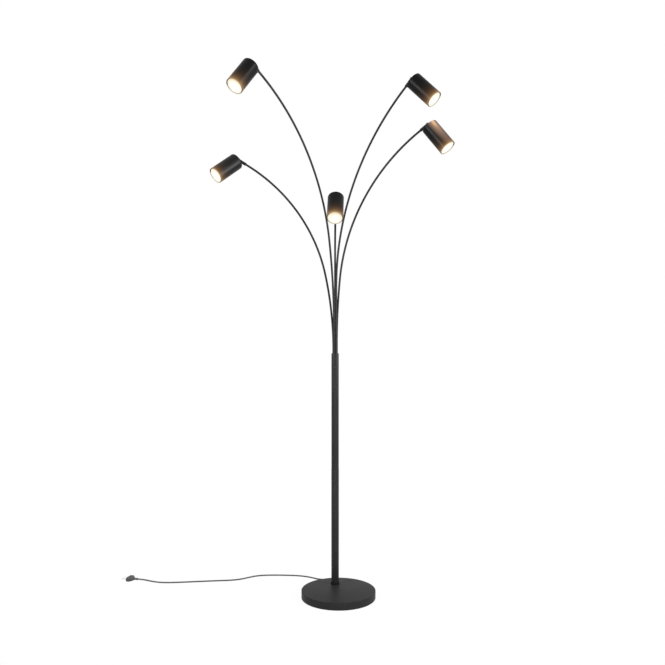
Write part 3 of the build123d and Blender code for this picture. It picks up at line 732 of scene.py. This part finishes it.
@dataclass
class Pole:
    """The pole: two lengths of tube with a fine seam, a foot collar and the arm holder's screw."""

    upper_radius: float = 0.0127
    lower_radius: float = 0.013
    bore_radius: float = 0.0112
    end_chamfer: float = 0.0005
    top_chamfer: float = 0.0012
    collar_radius: float = 0.015
    collar_clearance: float = 0.0001
    collar_edge: float = 0.0016
    screw_radius: float = 0.0019
    screw_socket: float = 0.0011
    screw_length: float = 0.0036
    screw_inset: float = 0.0003

    def build(self) -> None:
        """Models what shows of the pole and dresses what it hides."""
        self.length_of_tube("pole_lower", self.lower_radius, self.end_chamfer)
        self.length_of_tube("pole_upper", self.upper_radius, self.top_chamfer)
        self.collar()
        self.holder_screw()
        dress_node("arm_holder", TUBE_COAT)
        for node in ("pole_nipple", "pole_nut", "pole_foot_plug", "pole_coupler"):
            dress_node(node, ZINC)

    def axis_place(self) -> Matrix:
        """The pole's axis, at the floor."""
        middle = node_middle("pole_lower")
        return Matrix.Translation((middle.x, middle.y, 0.0))

    def length_of_tube(self, node: str, radius: float, top_edge: float) -> None:
        """Models one length of tube with its ends eased, its top by an amount of its own."""
        low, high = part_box(node)
        tube = Piece(f"{node}_tube", self.axis_place())
        tube.sleeve((radius, self.bore_radius), (low.z, high.z), (self.end_chamfer, top_edge, 0.0))
        tube.finished(TUBE_COAT, STAND, [node])

    def collar(self) -> None:
        """Models the low collar round the pole's foot."""
        low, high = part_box("pole_collar")
        inner = self.lower_radius + self.collar_clearance
        collar = Piece("foot_collar", self.axis_place())
        collar.sleeve((self.collar_radius, inner), (low.z, high.z), (0.0, self.collar_edge, SMALL_EDGE))
        collar.finished(DARK_COAT, STAND, ["pole_collar"])

    def holder_screw(self) -> None:
        """Models the grub screw with its round socket, seen in the pole's front."""
        middle = node_middle("arm_holder_screw")
        front = Vector((middle.x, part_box("arm_holder_screw")[0].y - self.screw_inset, middle.z))
        work = Piece.cylinder(48, self.screw_radius, self.screw_length)
        bmesh.ops.translate(work, vec=UP * (-self.screw_length / 2), verts=work.verts[:])
        top = [face for face in work.faces if face.normal.z > LOOKING_UP]
        bmesh.ops.inset_region(work, faces=top, thickness=self.screw_radius - self.screw_socket)
        Piece.sink(work, [face for face in work.faces if face in top], self.screw_length / 2)
        screw = Piece("holder_grub_screw", along_axes(front, Vector((1, 0, 0)), Vector((0, -1, 0))))
        screw.add(work)
        screw.finished(BLACK_SCREW, STAND, ["arm_holder_screw"])


# ---------------------------------------------------------------- arms, knuckles and heads
@dataclass(frozen=True)
class ArmShape:
    """How one arm's tube stands in the bundle and is bent: angles in degrees, lengths in metres.

    The spill is how strongly the bulb's painted glow covers the outside of the arm's head, from 0 to 1. A
    head with faces_lamp shows a wide highlight, and gets the glossier coat.
    """

    name: str
    ring_angle: float
    azimuth: float
    straight: float
    lean_radius: float
    lean_angle: float
    bend_radius: float
    bend_angle: float
    spill: float
    faces_lamp: bool = False


ARM_SHAPES = (
    ArmShape("upper_left", -36.0, -36.9, 0.079, 1.750, 10.0, 0.626, 54.9, 0.98),
    ArmShape("upper_right", 36.0, 49.9, 0.187, 2.420, 1.6, 0.791, 48.7, 0.95),
    ArmShape("lower_right", 108.0, 59.7, 0.033, 2.030, 6.3, 0.609, 53.4, 0.9),
    ArmShape("lower_left", -108.0, -78.8, 0.010, 1.210, 12.4, 0.549, 48.7, 0.89, faces_lamp=True),
    ArmShape("centre", 180.0, 1.4, 0.335, 3.000, 0.3, 0.193, 51.8, 1.0),
)


class TubeRun:
    """An open ring of a tube's section, which is drawn along the tube's way and leaves its wall behind."""

    SECTION_SIDES = 28
    LARGEST_HOLE = 40

    def __init__(self, foot: Vector, radius: float) -> None:
        """Starts with a level ring that looks up."""
        self.mesh = bmesh.new()
        self.place = foot
        self.direction = UP
        start = Matrix.Translation(foot)
        made = bmesh.ops.create_circle(
            self.mesh, cap_ends=False, segments=self.SECTION_SIDES, radius=radius, matrix=start
        )
        points = made["verts"]
        self.ring = points + list(dict.fromkeys(edge for vert in points for edge in vert.link_edges))

    def straight(self, length: float) -> None:
        """Extrudes the ring straight on."""
        edges = [item for item in self.ring if isinstance(item, bmesh.types.BMEdge)]
        new = bmesh.ops.extrude_edge_only(self.mesh, edges=edges)["geom"]
        points = [item for item in new if isinstance(item, bmesh.types.BMVert)]
        rims = [item for item in new if isinstance(item, bmesh.types.BMEdge) and item.verts[0] in points]
        step = self.direction * length
        bmesh.ops.translate(self.mesh, vec=step, verts=points)
        self.ring = points + [edge for edge in rims if edge.verts[1] in points]
        self.place = self.place + step

    def bend(self, outward: Vector, radius: float, degrees: float, steps: int) -> None:
        """Spins the ring round a bend.

        Args:
            outward: The level direction that it bends towards.
            radius: The bend's radius.
            degrees: The bend's angle.
            steps: The number of rings.
        """
        side = (outward - self.direction * outward.dot(self.direction)).normalized()
        centre = self.place + side * radius
        axis = self.direction.cross(side).normalized()
        angle = radians(degrees)
        spun = bmesh.ops.spin(
            self.mesh, geom=self.ring, cent=centre, axis=axis, angle=angle, steps=steps, use_merge=False
        )
        turn = Matrix.Rotation(angle, 3, axis)
        self.ring = spun["geom_last"]
        self.place = centre + turn @ (self.place - centre)
        self.direction = turn @ self.direction

    def cap(self) -> bmesh.types.BMesh:
        """Closes both ends and hands the mesh over."""
        bmesh.ops.holes_fill(self.mesh, edges=self.mesh.edges[:], sides=self.LARGEST_HOLE)
        return self.mesh


@dataclass
class Arm:
    """One bent tube from the holder in the pole's mouth to its knuckle."""

    shape: ArmShape
    radius: float = 0.0035
    gap: float = 0.0004
    tail: float = 0.014
    lean_steps: int = 24
    bend_steps: int = 72

    def foot(self) -> Vector:
        """Where the tube starts, at the bottom of the holder."""
        ring = (2 * self.radius + self.gap) / 2 / sin(pi / len(ARM_SHAPES))
        turn = radians(self.shape.ring_angle)
        holder = node_middle("arm_holder")
        return Vector((holder.x + ring * sin(turn), holder.y - ring * cos(turn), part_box("arm_holder")[0].z))

    def build(self) -> None:
        """Draws the tube up from the holder and round both bends, and checks where it ends."""
        shape, foot = self.shape, self.foot()
        outward = Vector((sin(radians(shape.azimuth)), -cos(radians(shape.azimuth)), 0))
        run = TubeRun(foot, self.radius)
        run.straight(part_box("pole_upper")[1].z + shape.straight - foot.z)
        run.bend(outward, shape.lean_radius, shape.lean_angle, self.lean_steps)
        run.bend(outward, shape.bend_radius, shape.bend_angle, self.bend_steps)
        miss = (run.place - joint(f"swivel_{shape.name}")[0]).length
        run.straight(self.tail)
        tube = Piece(f"tube_{shape.name}")
        tube.add(run.cap())
        tube.finished(TUBE_COAT, STAND, [f"arm_{shape.name}"])
        LOG.info("tube %s ends %.5f m from its knuckle", shape.name, miss)


@dataclass
class Head:
    """One spotlight head with its knuckle: barrel, fork, hinge screw, can, bulb and mouth ring."""

    name: str
    spill: float = 1.0
    faces_lamp: bool = False
    barrel_radius: float = 0.005
    barrel_length: float = 0.018
    barrel_bore: float = 0.00355
    barrel_end: float = 0.003
    hinge_from_tip: float = 0.029
    eye_thickness: float = 0.0046
    eye_overlap: float = 0.001
    cheek_thickness: float = 0.0026
    cheek_gap: float = 0.0003
    standoff: float = 0.0085
    flange_radius: float = 0.007
    flange_thickness: float = 0.0022
    flange_edge: float = 0.0006
    neck_radius: float = 0.004
    neck_length: float = 0.008
    neck_clearance: float = 0.0001
    screw_radius: float = 0.0035
    screw_thickness: float = 0.002
    screw_edge: float = 0.0005
    slot_half: float = 0.0005
    slot_depth: float = 0.0009
    shank_radius: float = 0.002
    nut_radius: float = 0.0038
    nut_thickness: float = 0.0024
    can_radius: float = 0.02675
    can_length: float = 0.097
    can_wall: float = 0.0012
    can_back: float = 0.002
    can_edge: float = 0.0022
    can_bands: int = 12
    lip_share: float = 0.45
    bulb_radius: float = 0.025
    bulb_foot_radius: float = 0.013
    bulb_foot: float = 0.053
    bulb_foot_height: float = 0.013
    bulb_rim: float = 0.003
    bulb_waist: float = 0.0035
    contact_offset: float = 0.005
    contact_drop: float = 0.007
    lens_radius: float = 0.0242
    lens_face: float = 0.103
    lens_dome: float = 0.0016
    lens_thickness: float = 0.0012
    lens_clearance: float = 0.0002
    lens_lean: float = 0.3
    lip_shade: float = 0.3
    spill_power: float = 8.0
    wash_reach: float = 0.1086
    wash_falloff: float = 6.0
    wash_power: float = 4.0
    wash_lean: float = 1.2
    ring_wall: float = 0.00165
    ring_inset: float = 0.0003
    ring_gap: float = 0.0003
    tip: Matrix = field(init=False)
    head: Matrix = field(init=False)

    def __post_init__(self) -> None:
        """Works out the knuckle's and the head's frames from the joints."""
        tip, along = joint(f"swivel_{self.name}")
        hinge, pin = joint(f"tilt_{self.name}")
        aim = (node_middle(f"glare_ring_{self.name}") - hinge).normalized()
        self.tip = along_axes(tip, -pin, along)
        self.head = along_axes(hinge, -pin, aim)

    def build(self) -> None:
        """Models the knuckle and the head."""
        self.barrel()
        self.fork()
        self.hinge_screw()
        self.can()
        self.bulb()
        self.mouth_ring()
        dress_node(f"bulb_socket_{self.name}", CERAMIC)

    def head_body(self) -> str:
        """The body that the head rides on."""
        return f"head_{self.name}"

    def aim(self) -> Vector:
        """The direction in which the head looks."""
        return self.head.col[2].to_3d()

    def barrel(self) -> None:
        """Models the knuckle's barrel and the eye that the head hinges on."""
        piece = Piece(f"knuckle_barrel_{self.name}", self.tip)
        end = self.barrel_length - self.barrel_end
        outline = [
            Corner(self.barrel_bore, 0.0),
            Corner(self.barrel_radius, 0.0, PLAIN_EDGE),
            Corner(self.barrel_radius, self.barrel_length, PLAIN_EDGE),
            Corner(0.0, self.barrel_length),
            Corner(0.0, end),
            Corner(self.barrel_bore, end),
        ]
        piece.turned(outline, Outline.LOOP, steps=64)
        place = standing((0, 0, self.hinge_from_tip), -1)
        reach = self.hinge_from_tip - self.barrel_length + self.eye_overlap
        piece.lug(self.barrel_radius, reach, self.eye_thickness, SMALL_EDGE, place)
        piece.finished(BLACK_COAT, f"knuckle_{self.name}", [f"arm_tip_{self.name}"])

    def fork(self) -> None:
        """Models the fork on the head's back: two cheeks on a round flange, and its neck."""
        piece = Piece(f"head_fork_{self.name}", self.head)
        flange_bottom = self.standoff - self.flange_thickness
        outline = closed(
            Corner(self.flange_radius, flange_bottom, self.flange_edge),
            Corner(self.flange_radius, self.standoff, FINE_EDGE),
            Corner(self.neck_radius, self.standoff),
            Corner(self.neck_radius, self.standoff + self.neck_length, SMALL_EDGE),
        )
        piece.turned(outline, steps=64)
        middle = self.eye_thickness / 2 + self.cheek_gap + self.cheek_thickness / 2
        reach = flange_bottom + self.flange_thickness / 2
        for side in (-middle, middle):
            piece.lug(self.barrel_radius, reach, self.cheek_thickness, SMALL_EDGE, standing((side, 0, 0), 1))
        piece.finished(BLACK_COAT, self.head_body(), [f"head_yoke_{self.name}"])

    def hinge_screw(self) -> None:
        """Models the hinge's slotted screw on one cheek and its nut on the other."""
        half = self.eye_thickness / 2 + self.cheek_gap + self.cheek_thickness
        turn = Matrix.Rotation(pi / 2, 4, "Y")
        piece = Piece(f"hinge_screw_{self.name}", self.head)
        work = Piece.cylinder(48, self.screw_radius, self.screw_thickness)
        rim = [edge for edge in work.edges if edge.verts[0].co.z > 0 and edge.verts[1].co.z > 0]
        Piece.rounded(work, rim, self.screw_edge)
        for offset in (-self.slot_half, self.slot_half):
            Piece.ring_cut(work, Vector((0, offset, 0)), Vector((0, 1, 0)))
        top = [face for face in work.faces if face.normal.z > LOOKING_UP]
        slot = [face for face in top if abs(face.calc_center_median().y) < self.slot_half]
        Piece.sink(work, slot, self.slot_depth)
        piece.add(work, turn @ Matrix.Translation((0, 0, half + self.screw_thickness / 2)))
        nut_place = turn @ Matrix.Translation((0, 0, -half - self.nut_thickness))
        piece.prism(6, self.nut_radius, self.nut_thickness, FINE_EDGE, nut_place)
        piece.prism(32, self.shank_radius, 2 * half, 0.0, turn @ Matrix.Translation((0, 0, -half)))
        piece.finished(BLACK_SCREW, self.head_body(), [f"pivot_screw_{self.name}"])

    def can(self) -> None:
        """Models the head's can: a rounded back, a straight wall, a rolled lip and its inside."""
        back, mouth = self.standoff, self.standoff + self.can_length
        inner, end = self.can_radius - self.can_wall, back + self.can_back
        hole, roll = self.neck_radius + self.neck_clearance, self.can_wall * self.lip_share
        outline = [
            Corner(hole, back),
            Corner(self.can_radius, back, self.can_edge),
            Corner(self.can_radius, mouth, roll),
            Corner(inner, mouth, roll),
            Corner(inner, end, PLAIN_EDGE),
            Corner(hole, end),
        ]
        bands = [back + self.can_length * step / self.can_bands for step in range(1, self.can_bands)]
        piece = Piece(f"can_{self.name}", self.head)
        piece.turned(outline, Outline.LOOP, steps=128, cuts=bands)
        coat = LIT_HEAD_COAT if self.faces_lamp else HEAD_COAT
        made = piece.finished(coat, self.head_body(), [f"head_shell_{self.name}"])

        def lip(vertex: bpy.types.MeshVertex) -> float:
            """0.5 off the lip, more on its front side and less behind; it places the painted light caught on
            the lip.
            """
            return 0.5 + self.towards_front(vertex) * max(vertex.normal.dot(self.aim()), 0.0)

        # The marks place painted light: the bulb's glow spilt over the can, a neighbour head's light and the
        # light caught on the lip.
        mark(made, "nearness", self.nearness(back, mouth))
        mark(made, "wash", self.wash())
        mark(made, "lip", lip)

    def nearness(self, start: float, end: float) -> Callable[[bpy.types.MeshVertex], float]:
        """How near a point is to the mouth: 0 at one distance along the head, 1 at the other.

        Args:
            start: The distance along the head that counts as 0.
            end: The distance that counts as 1.

        Returns:
            The number for a point, less where the surface faces along the head, as the lip does.
        """
        origin, aim = self.head.to_translation(), self.aim()

        def amount(vertex: bpy.types.MeshVertex) -> float:
            """The share of the way, with the head's spill and the lip's shade."""
            shade = 1.0 - self.lip_shade * max(vertex.normal.dot(aim), 0.0)
            share = ((vertex.co - origin).dot(aim) - start) / (end - start)
            near = self.spill + (1.0 - self.spill) * max(share, 0.0) ** self.spill_power
            return share * near * shade

        return amount

    def wash(self) -> Callable[[bpy.types.MeshVertex], float]:
        """How strongly the nearest other head's light is painted on a point of this one."""
        back = self.head @ (UP * self.standoff)
        others = [Head(shape.name) for shape in ARM_SHAPES if shape.name != self.name]
        nearest = min(others, key=lambda other: (other.mouth()[0] - back).length)
        lamp, aim = nearest.mouth()
        lamp = lamp + nearest.front() * (self.wash_lean * nearest.lens_radius)
        own = self.aim()

        def amount(vertex: bpy.types.MeshVertex) -> float:
            """The painted light that arrives, by its angles and its way."""
            way = lamp - vertex.co
            across = way - own * way.dot(own)
            facing = max(self.off_axis(vertex).normalized().dot(across.normalized()), 0.0)
            leaving = max(-way.normalized().dot(aim), 0.0)
            nearby = (self.wash_reach / way.length) ** self.wash_falloff
            return facing**self.wash_power * leaving * nearby

        return amount

    def off_axis(self, vertex: bpy.types.MeshVertex) -> Vector:
        """The way from the head's axis to a point, square to the axis."""
        from_hinge, aim = vertex.co - self.head.to_translation(), self.aim()
        return from_hinge - aim * from_hinge.dot(aim)

    def front(self) -> Vector:
        """The direction square to the head's axis that looks most to the lamp's front."""
        aim, forward = self.aim(), Vector((0, -1, 0))
        return (forward - aim * forward.dot(aim)).normalized()

    def towards_front(self, vertex: bpy.types.MeshVertex) -> float:
        """0.5 on the head's front side, -0.5 behind, and 0 at both sides."""
        return self.off_axis(vertex).normalized().dot(self.front()) / 2

    def lens_share(self, vertex: bpy.types.MeshVertex) -> float:
        """0 at the front edge of the lens, and more towards a point a little behind its middle."""
        centre = self.front() * (-self.lens_lean * self.lens_radius)
        return 1.0 - (self.off_axis(vertex) - centre).length / (self.lens_radius * (1.0 + self.lens_lean))

    def mouth(self) -> tuple[Vector, Vector]:
        """The middle of the head's mouth and its direction."""
        return self.head @ (UP * self.lens_face), self.aim()

    def bulb(self) -> None:
        """Models the reflector bulb: its bowl with the two contacts on its foot, and then its lens."""
        foot, face = self.bulb_foot, self.lens_face
        foot_top, rim_bottom = foot + self.bulb_foot_height, face - self.bulb_rim
        neck_curve, bowl_curve, rim_curve, rim_edge = 0.003, 0.006, 0.001, 0.0006
        outline = closed(
            Corner(self.bulb_foot_radius, foot, PLAIN_EDGE),
            Corner(self.bulb_foot_radius, foot_top, neck_curve),
            Corner(self.bulb_radius - self.bulb_waist, (foot_top + rim_bottom) / 2, bowl_curve),
            Corner(self.bulb_radius, rim_bottom, rim_curve),
            Corner(self.bulb_radius, face, rim_edge),
            Corner(self.lens_radius, face, FINE_EDGE),
            Corner(self.lens_radius, face - self.lens_dome),
        )
        bowl = Piece(f"bulb_bowl_{self.name}", self.head)
        bowl.turned(outline)
        button_radius, button_height, stem_radius, contact_length = 0.0025, 0.002, 0.0013, 0.0072
        contact = closed(
            Corner(button_radius, 0.0, FINE_EDGE),
            Corner(button_radius, button_height, FINE_EDGE),
            Corner(stem_radius, button_height),
            Corner(stem_radius, contact_length),
        )
        for side in (-self.contact_offset, self.contact_offset):
            bowl.turned(contact, steps=24, place=Matrix.Translation((side, 0, foot - self.contact_drop)))
        made = bowl.finished(LIT_BOWL, self.head_body(), [f"spot_bulb_{self.name}"])
        mark(made, "nearness", self.nearness(foot, face))
        self.lens()

    def lens(self) -> None:
        """Models the bulb's lit front lens, a low dome in the bowl's rim."""
        face, edge = self.lens_face, self.lens_radius - self.lens_clearance
        foot_share, brow_share, brow_rise, crown_rise, brow_curve = 0.8, 0.6, 0.1, 0.15, 0.004
        outline = [
            Corner(0.0, face - self.lens_thickness),
            Corner(edge, face - self.lens_thickness),
            Corner(edge, face - self.lens_clearance, SMALL_EDGE),
            Corner(self.lens_radius * foot_share, face),
            Corner(self.lens_radius * brow_share, face + self.lens_dome * brow_rise, brow_curve),
            Corner(0.0, face + self.lens_dome * crown_rise),
        ]
        lens = Piece(f"bulb_lens_{self.name}", self.head)
        lens.turned(outline)
        mark(lens.finished(LIT_LENS, self.head_body()), "nearness", self.lens_share)

    def mouth_ring(self) -> None:
        """Models the dark ring in the mouth, in front of the bulb's rim, with painted light on its front and
        back sides.
        """
        outer = self.can_radius - self.can_wall
        ends = (self.lens_face + self.ring_gap, self.standoff + self.can_length - self.ring_inset)
        piece = Piece(f"mouth_ring_{self.name}", self.head)
        piece.sleeve((outer, outer - self.ring_wall), ends, (0.0, CRISP_EDGE, SMALL_EDGE), steps=128)
        made = piece.finished(RING_COAT, self.head_body(), [f"glare_ring_{self.name}"])
        # Painted light: the ring glows warm on its front side and cream on its back side, and stays dark at
        # both sides.
        mark(made, "lip", lambda vertex: 0.5 + self.towards_front(vertex))


# ---------------------------------------------------------------- the power lead
@dataclass
class PowerLead:
    """The lead on the floor: its tapered relief, the cord and the flat plug."""

    radius: float = 0.0025
    length: float = 0.7204
    wall_radius: float = 0.124
    exit_height: float = 0.010
    exit_angle: float = 20.0
    relief_length: float = 0.025
    first_run: float = 0.014
    floor: float = 0.0025
    plug_level: float = 0.0068

    def exit_frame(self) -> Matrix:
        """The frame on the base's wall where the lead comes out."""
        turn = radians(self.exit_angle)
        out = Vector((-sin(turn), cos(turn), 0.0))
        return along_axes(out * self.wall_radius + UP * self.exit_height, UP, out)

    def route(self) -> list[Vector]:
        """The cord's way: straight out of the relief, then laid over the floor to the plug."""
        exit_frame = self.exit_frame()
        start = exit_frame @ (UP * self.relief_length)
        second = exit_frame @ (UP * (self.relief_length + self.first_run))
        low, plug = self.floor, self.plug_level
        laid = [
            (-0.065, 0.168, 0.005),
            (-0.082, 0.185, low),
            (-0.101, 0.199, low),
            (-0.121, 0.209, low),
            (-0.152, 0.218, low),
            (-0.200, 0.2225, low),
            (-0.261, 0.223, low),
            (-0.297, 0.2155, low),
            (-0.323, 0.198, low),
            (-0.348, 0.1785, low),
            (-0.380, 0.166, low),
            (-0.433, 0.1605, low),
            (-0.497, 0.1525, low),
            (-0.560, 0.144, low),
            (-0.608, 0.1395, low),
            (-0.640, 0.1435, low),
            (-0.669, 0.1515, 0.0039),
            (-0.695, 0.1595, plug),
            (-0.719, 0.1655, plug),
        ]
        return [start, second] + [Vector(point) for point in laid]

    def build(self) -> None:
        """Models the relief, the plug with its pins, and the cord between them."""
        self.relief()
        plug, pins = self.plug(), self.pins()
        route = self.route()
        curve = bpy.data.curves.new("lead", "CURVE")
        curve.dimensions = "3D"
        spline = curve.splines.new("NURBS")
        spline.points.add(len(route) - 1)
        for point, place in zip(spline.points, route):
            point.co = (*place, 1.0)
        spline.order_u = 3
        spline.use_endpoint_u = True
        spline.resolution_u = 12
        curve.bevel_depth = self.radius
        curve.bevel_resolution = 6
        curve.use_fill_caps = True
        curve.materials.append(SHEATH.material())
        lead = bpy.data.objects.new("lead", curve)
        bpy.context.scene.collection.objects.link(lead)
        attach(lead, STAND)
        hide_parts("power_cord")
        2 * self.radius

    def relief(self) -> None:
        """Models the tapered relief with its grip rings."""
        root, tip, rings = 0.0055, 0.0033, 5
        tail_radius, tail_depth, shoulder = 0.004, 0.003, 0.0002
        outline = [
            Corner(tail_radius, -tail_depth),
            Corner(tail_radius, 0.0),
            Corner(root, shoulder, FINE_EDGE),
        ]
        groove = ((0.0, 0.0), (0.12, 0.0007), (0.42, 0.0008), (0.55, 0.0002))
        start, bare_tip = 0.0042, 0.0032
        pitch = (self.relief_length - bare_tip - start) / rings
        for index in range(rings):
            foot = start + index * pitch
            skin = root + (tip - root) * foot / self.relief_length
            outline += [Corner(skin - depth, foot + pitch * share, CRISP_EDGE) for share, depth in groove]
        outline.append(Corner(tip, self.relief_length, SMALL_EDGE))
        piece = Piece("lead_relief", self.exit_frame())
        piece.turned(closed(*outline), steps=64)
        piece.finished(BLACK_PLASTIC, STAND, ["cord_relief"])

    def plug_frame(self) -> Matrix:
        """The frame at the cord's end, with Z along the plug and X across it."""
        route = self.route()
        run = (route[-1] - route[-2]).normalized()
        return along_axes(route[-1], UP.cross(run), run)

    def plug(self) -> bpy.types.Object:
        """Models the flat plug: a ringed boot, sloping shoulders and thumb grips."""
        boot, shoulder, length = 0.014, 0.011, 0.024
        width, thickness, boot_radius = 0.035, 0.0136, 0.0038
        narrowing, side_edge = 0.75, 0.0024
        piece = Piece("plug_moulding", self.plug_frame())
        work = bmesh.new()
        bmesh.ops.create_cube(work, size=1.0)
        bmesh.ops.scale(work, vec=(width, thickness, length), verts=work.verts[:])
        bmesh.ops.translate(work, vec=UP * (boot + length / 2), verts=work.verts[:])
        Piece.ring_cut(work, UP * (boot + shoulder), UP)
        for vert in work.verts:
            if vert.co.z < boot + TOUCHING:
                vert.co.x *= 2 * boot_radius / width
                vert.co.y *= narrowing
        face = boot + length - TOUCHING
        sides = [edge for edge in work.edges if not all(vert.co.z > face for vert in edge.verts)]
        Piece.rounded(work, sides, side_edge, 4)
        piece.add(work)
        mouth_share, ring_share, groove_share = 0.86, 0.98, 0.84
        outline = [Corner(boot_radius * mouth_share, 0.0, FINE_EDGE)]
        ring = ((0.0, ring_share), (0.0014, ring_share), (0.0017, groove_share), (0.0026, groove_share))
        first_ring, ring_pitch, rings = 0.002, 0.0028, 4
        for index in range(rings):
            foot = first_ring + index * ring_pitch
            outline += [Corner(boot_radius * share, foot + rise, CRISP_EDGE) for rise, share in ring]
        outline.append(Corner(boot_radius, boot))
        piece.turned(closed(*outline), steps=48)
        grip_size, grip_edge, grip_pitch, grips = (0.016, 0.0006, 0.0011), 0.00025, 0.0026, 4
        grip_inset = 0.001
        level, first_grip = thickness / 2 - grip_size[1] / 2, boot + shoulder + grip_inset
        for index in range(grips):
            for side in (-level, level):
                place = Matrix.Translation((0, side, first_grip + index * grip_pitch))
                piece.block(grip_size, grip_edge, place)
        return piece.finished(BLACK_PLASTIC, STAND, ["plug_body"])

    def pins(self) -> bpy.types.Object:
        """Models the two round pins."""
        face, pin_radius, pin_length, spacing = 0.038, 0.002, 0.019, 0.0186
        piece = Piece("plug_contact_pins", self.plug_frame())
        pin_tip = pin_radius / 2
        outline = closed(Corner(pin_radius, 0.0), Corner(pin_radius, pin_length, pin_tip))
        for side in (-spacing / 2, spacing / 2):
            piece.turned(outline, steps=40, place=Matrix.Translation((side, 0, face)))
        return piece.finished(NICKEL, STAND, ["plug_pins"])


# ---------------------------------------------------------------- studio
class Softbox(Enum):
    """The studio's soft lamps, named by where they stand: each one's place, size and watts."""

    RIGHT = ((2.2, -0.72, 1.47), (0.75, 0.6), 68.0)
    UPPER_RIGHT = ((2.17, -0.73, 2.66), (0.75, 0.5), 28.0)
    LEFT = ((-1.96, -1.23, 1.62), (0.55, 0.5), 52.0)
    FRONT = ((-0.2, -3.2, 0.6), (0.6, 1.8), 38.0)


@dataclass
class Studio:
    """The camera, a plain pale floor, soft lamps and a white surrounding."""

    focal_pixels: float = 679.83
    image_pixels: float = 665.0
    horizon_pixel: float = 356.05
    camera_x: float = -0.01995
    camera_y: float = -2.277
    camera_height: float = 0.808
    sensor: float = 36.0
    floor_size: float = 30.0
    floor_drop: float = 0.0002
    surrounding: float = 0.3
    aim_height: float = 1.2

    def build(self) -> None:
        """Sets up everything round the lamp."""
        self.camera()
        self.floor()
        self.world()
        for which in Softbox:
            self.softbox(which)

    def camera(self) -> None:
        """Places the level camera with its principal point on the photograph's horizon."""
        data = bpy.data.cameras.new("camera")
        data.sensor_width = self.sensor
        data.lens = self.focal_pixels / self.image_pixels * self.sensor
        data.shift_y = (self.horizon_pixel - self.image_pixels / 2) / self.image_pixels
        data.clip_end = 100.0
        made = bpy.data.objects.new("camera", data)
        made.location = (self.camera_x, self.camera_y, self.camera_height)
        made.rotation_euler = (pi / 2, 0.0, 0.0)
        bpy.context.scene.collection.objects.link(made)
        bpy.context.scene.camera = made

    def floor(self) -> None:
        """Lays the floor, which the camera sees as near white with the lamp's soft shadow."""
        work = bmesh.new()
        bmesh.ops.create_grid(work, x_segments=1, y_segments=1, size=self.floor_size / 2)
        data = bpy.data.meshes.new("floor")
        work.to_mesh(data)
        work.free()
        made = bpy.data.objects.new("floor", data)
        made.location.z = -self.floor_drop
        bpy.context.scene.collection.objects.link(made)
        paper = bpy.data.materials.new("floor_paper")
        shader = Shader(paper)
        shader.set(Base_Color=(0.92, 0.92, 0.92), Roughness=0.9)
        glow = shader.node("ShaderNodeEmission", {}, {"Color": (1.0, 1.0, 1.0), "Strength": 1.0})
        share = shader.background_rays() * self.paleness(shader)
        inputs = {0: share, 1: shader.surface.outputs[0], 2: glow.outputs[0]}
        mixed = shader.node("ShaderNodeMixShader", {}, inputs)
        shader.feed(shader.tree.nodes["Material Output"].inputs["Surface"], mixed.outputs[0])
        data.materials.append(paper)

    @staticmethod
    def paleness(shader: Shader) -> Number:
        """How far the floor fades into white: mostly near the lamp, and fully away from it."""
        length = shader.node("ShaderNodeVectorMath", {"operation": "LENGTH"}, {0: shader.place()})
        inputs = {"Value": length.outputs["Value"], "From Min": 0.1, "From Max": 0.8, "To Min": 0.95}
        return Number(shader, shader.node("ShaderNodeMapRange", {}, inputs).outputs[0])

    def world(self) -> None:
        """Surrounds the lamp with white that the camera sees, and a dimmer light on everything."""
        world = bpy.data.worlds.new("surrounding")
        bpy.context.scene.world = world
        shader = Shader(world, "Background")
        inputs = {"Value": shader.background_rays(), "To Min": self.surrounding, "To Max": 1.0}
        levels = shader.node("ShaderNodeMapRange", {}, inputs)
        shader.set(Color=(1.0, 1.0, 1.0), Strength=levels.outputs[0])

    def softbox(self, which: Softbox) -> None:
        """Hangs a soft lamp that looks at the middle of the lamp."""
        place, size, watts = which.value
        name = f"softbox_{which.name.lower()}"
        data = bpy.data.lights.new(name, "AREA")
        data.shape = "RECTANGLE"
        data.size, data.size_y = size
        data.energy = watts
        made = bpy.data.objects.new(name, data)
        made.location = place
        aim = UP * self.aim_height - Vector(place)
        made.rotation_euler = aim.to_track_quat("-Z", "Y").to_euler()
        bpy.context.scene.collection.objects.link(made)


def main() -> None:
    """Builds the studio and the lamp's sub-assemblies in order."""
    logging.basicConfig(level=logging.INFO, format="%(message)s")
    Studio().build()
    PowerLead().build()
    Base().build()
    Pole().build()
    for shape in ARM_SHAPES:
        Arm(shape).build()
        Head(shape.name, shape.spill, shape.faces_lamp).build()
    bpy.context.scene.view_settings.view_transform = "Standard"


if __name__ == "__main__":
    main()
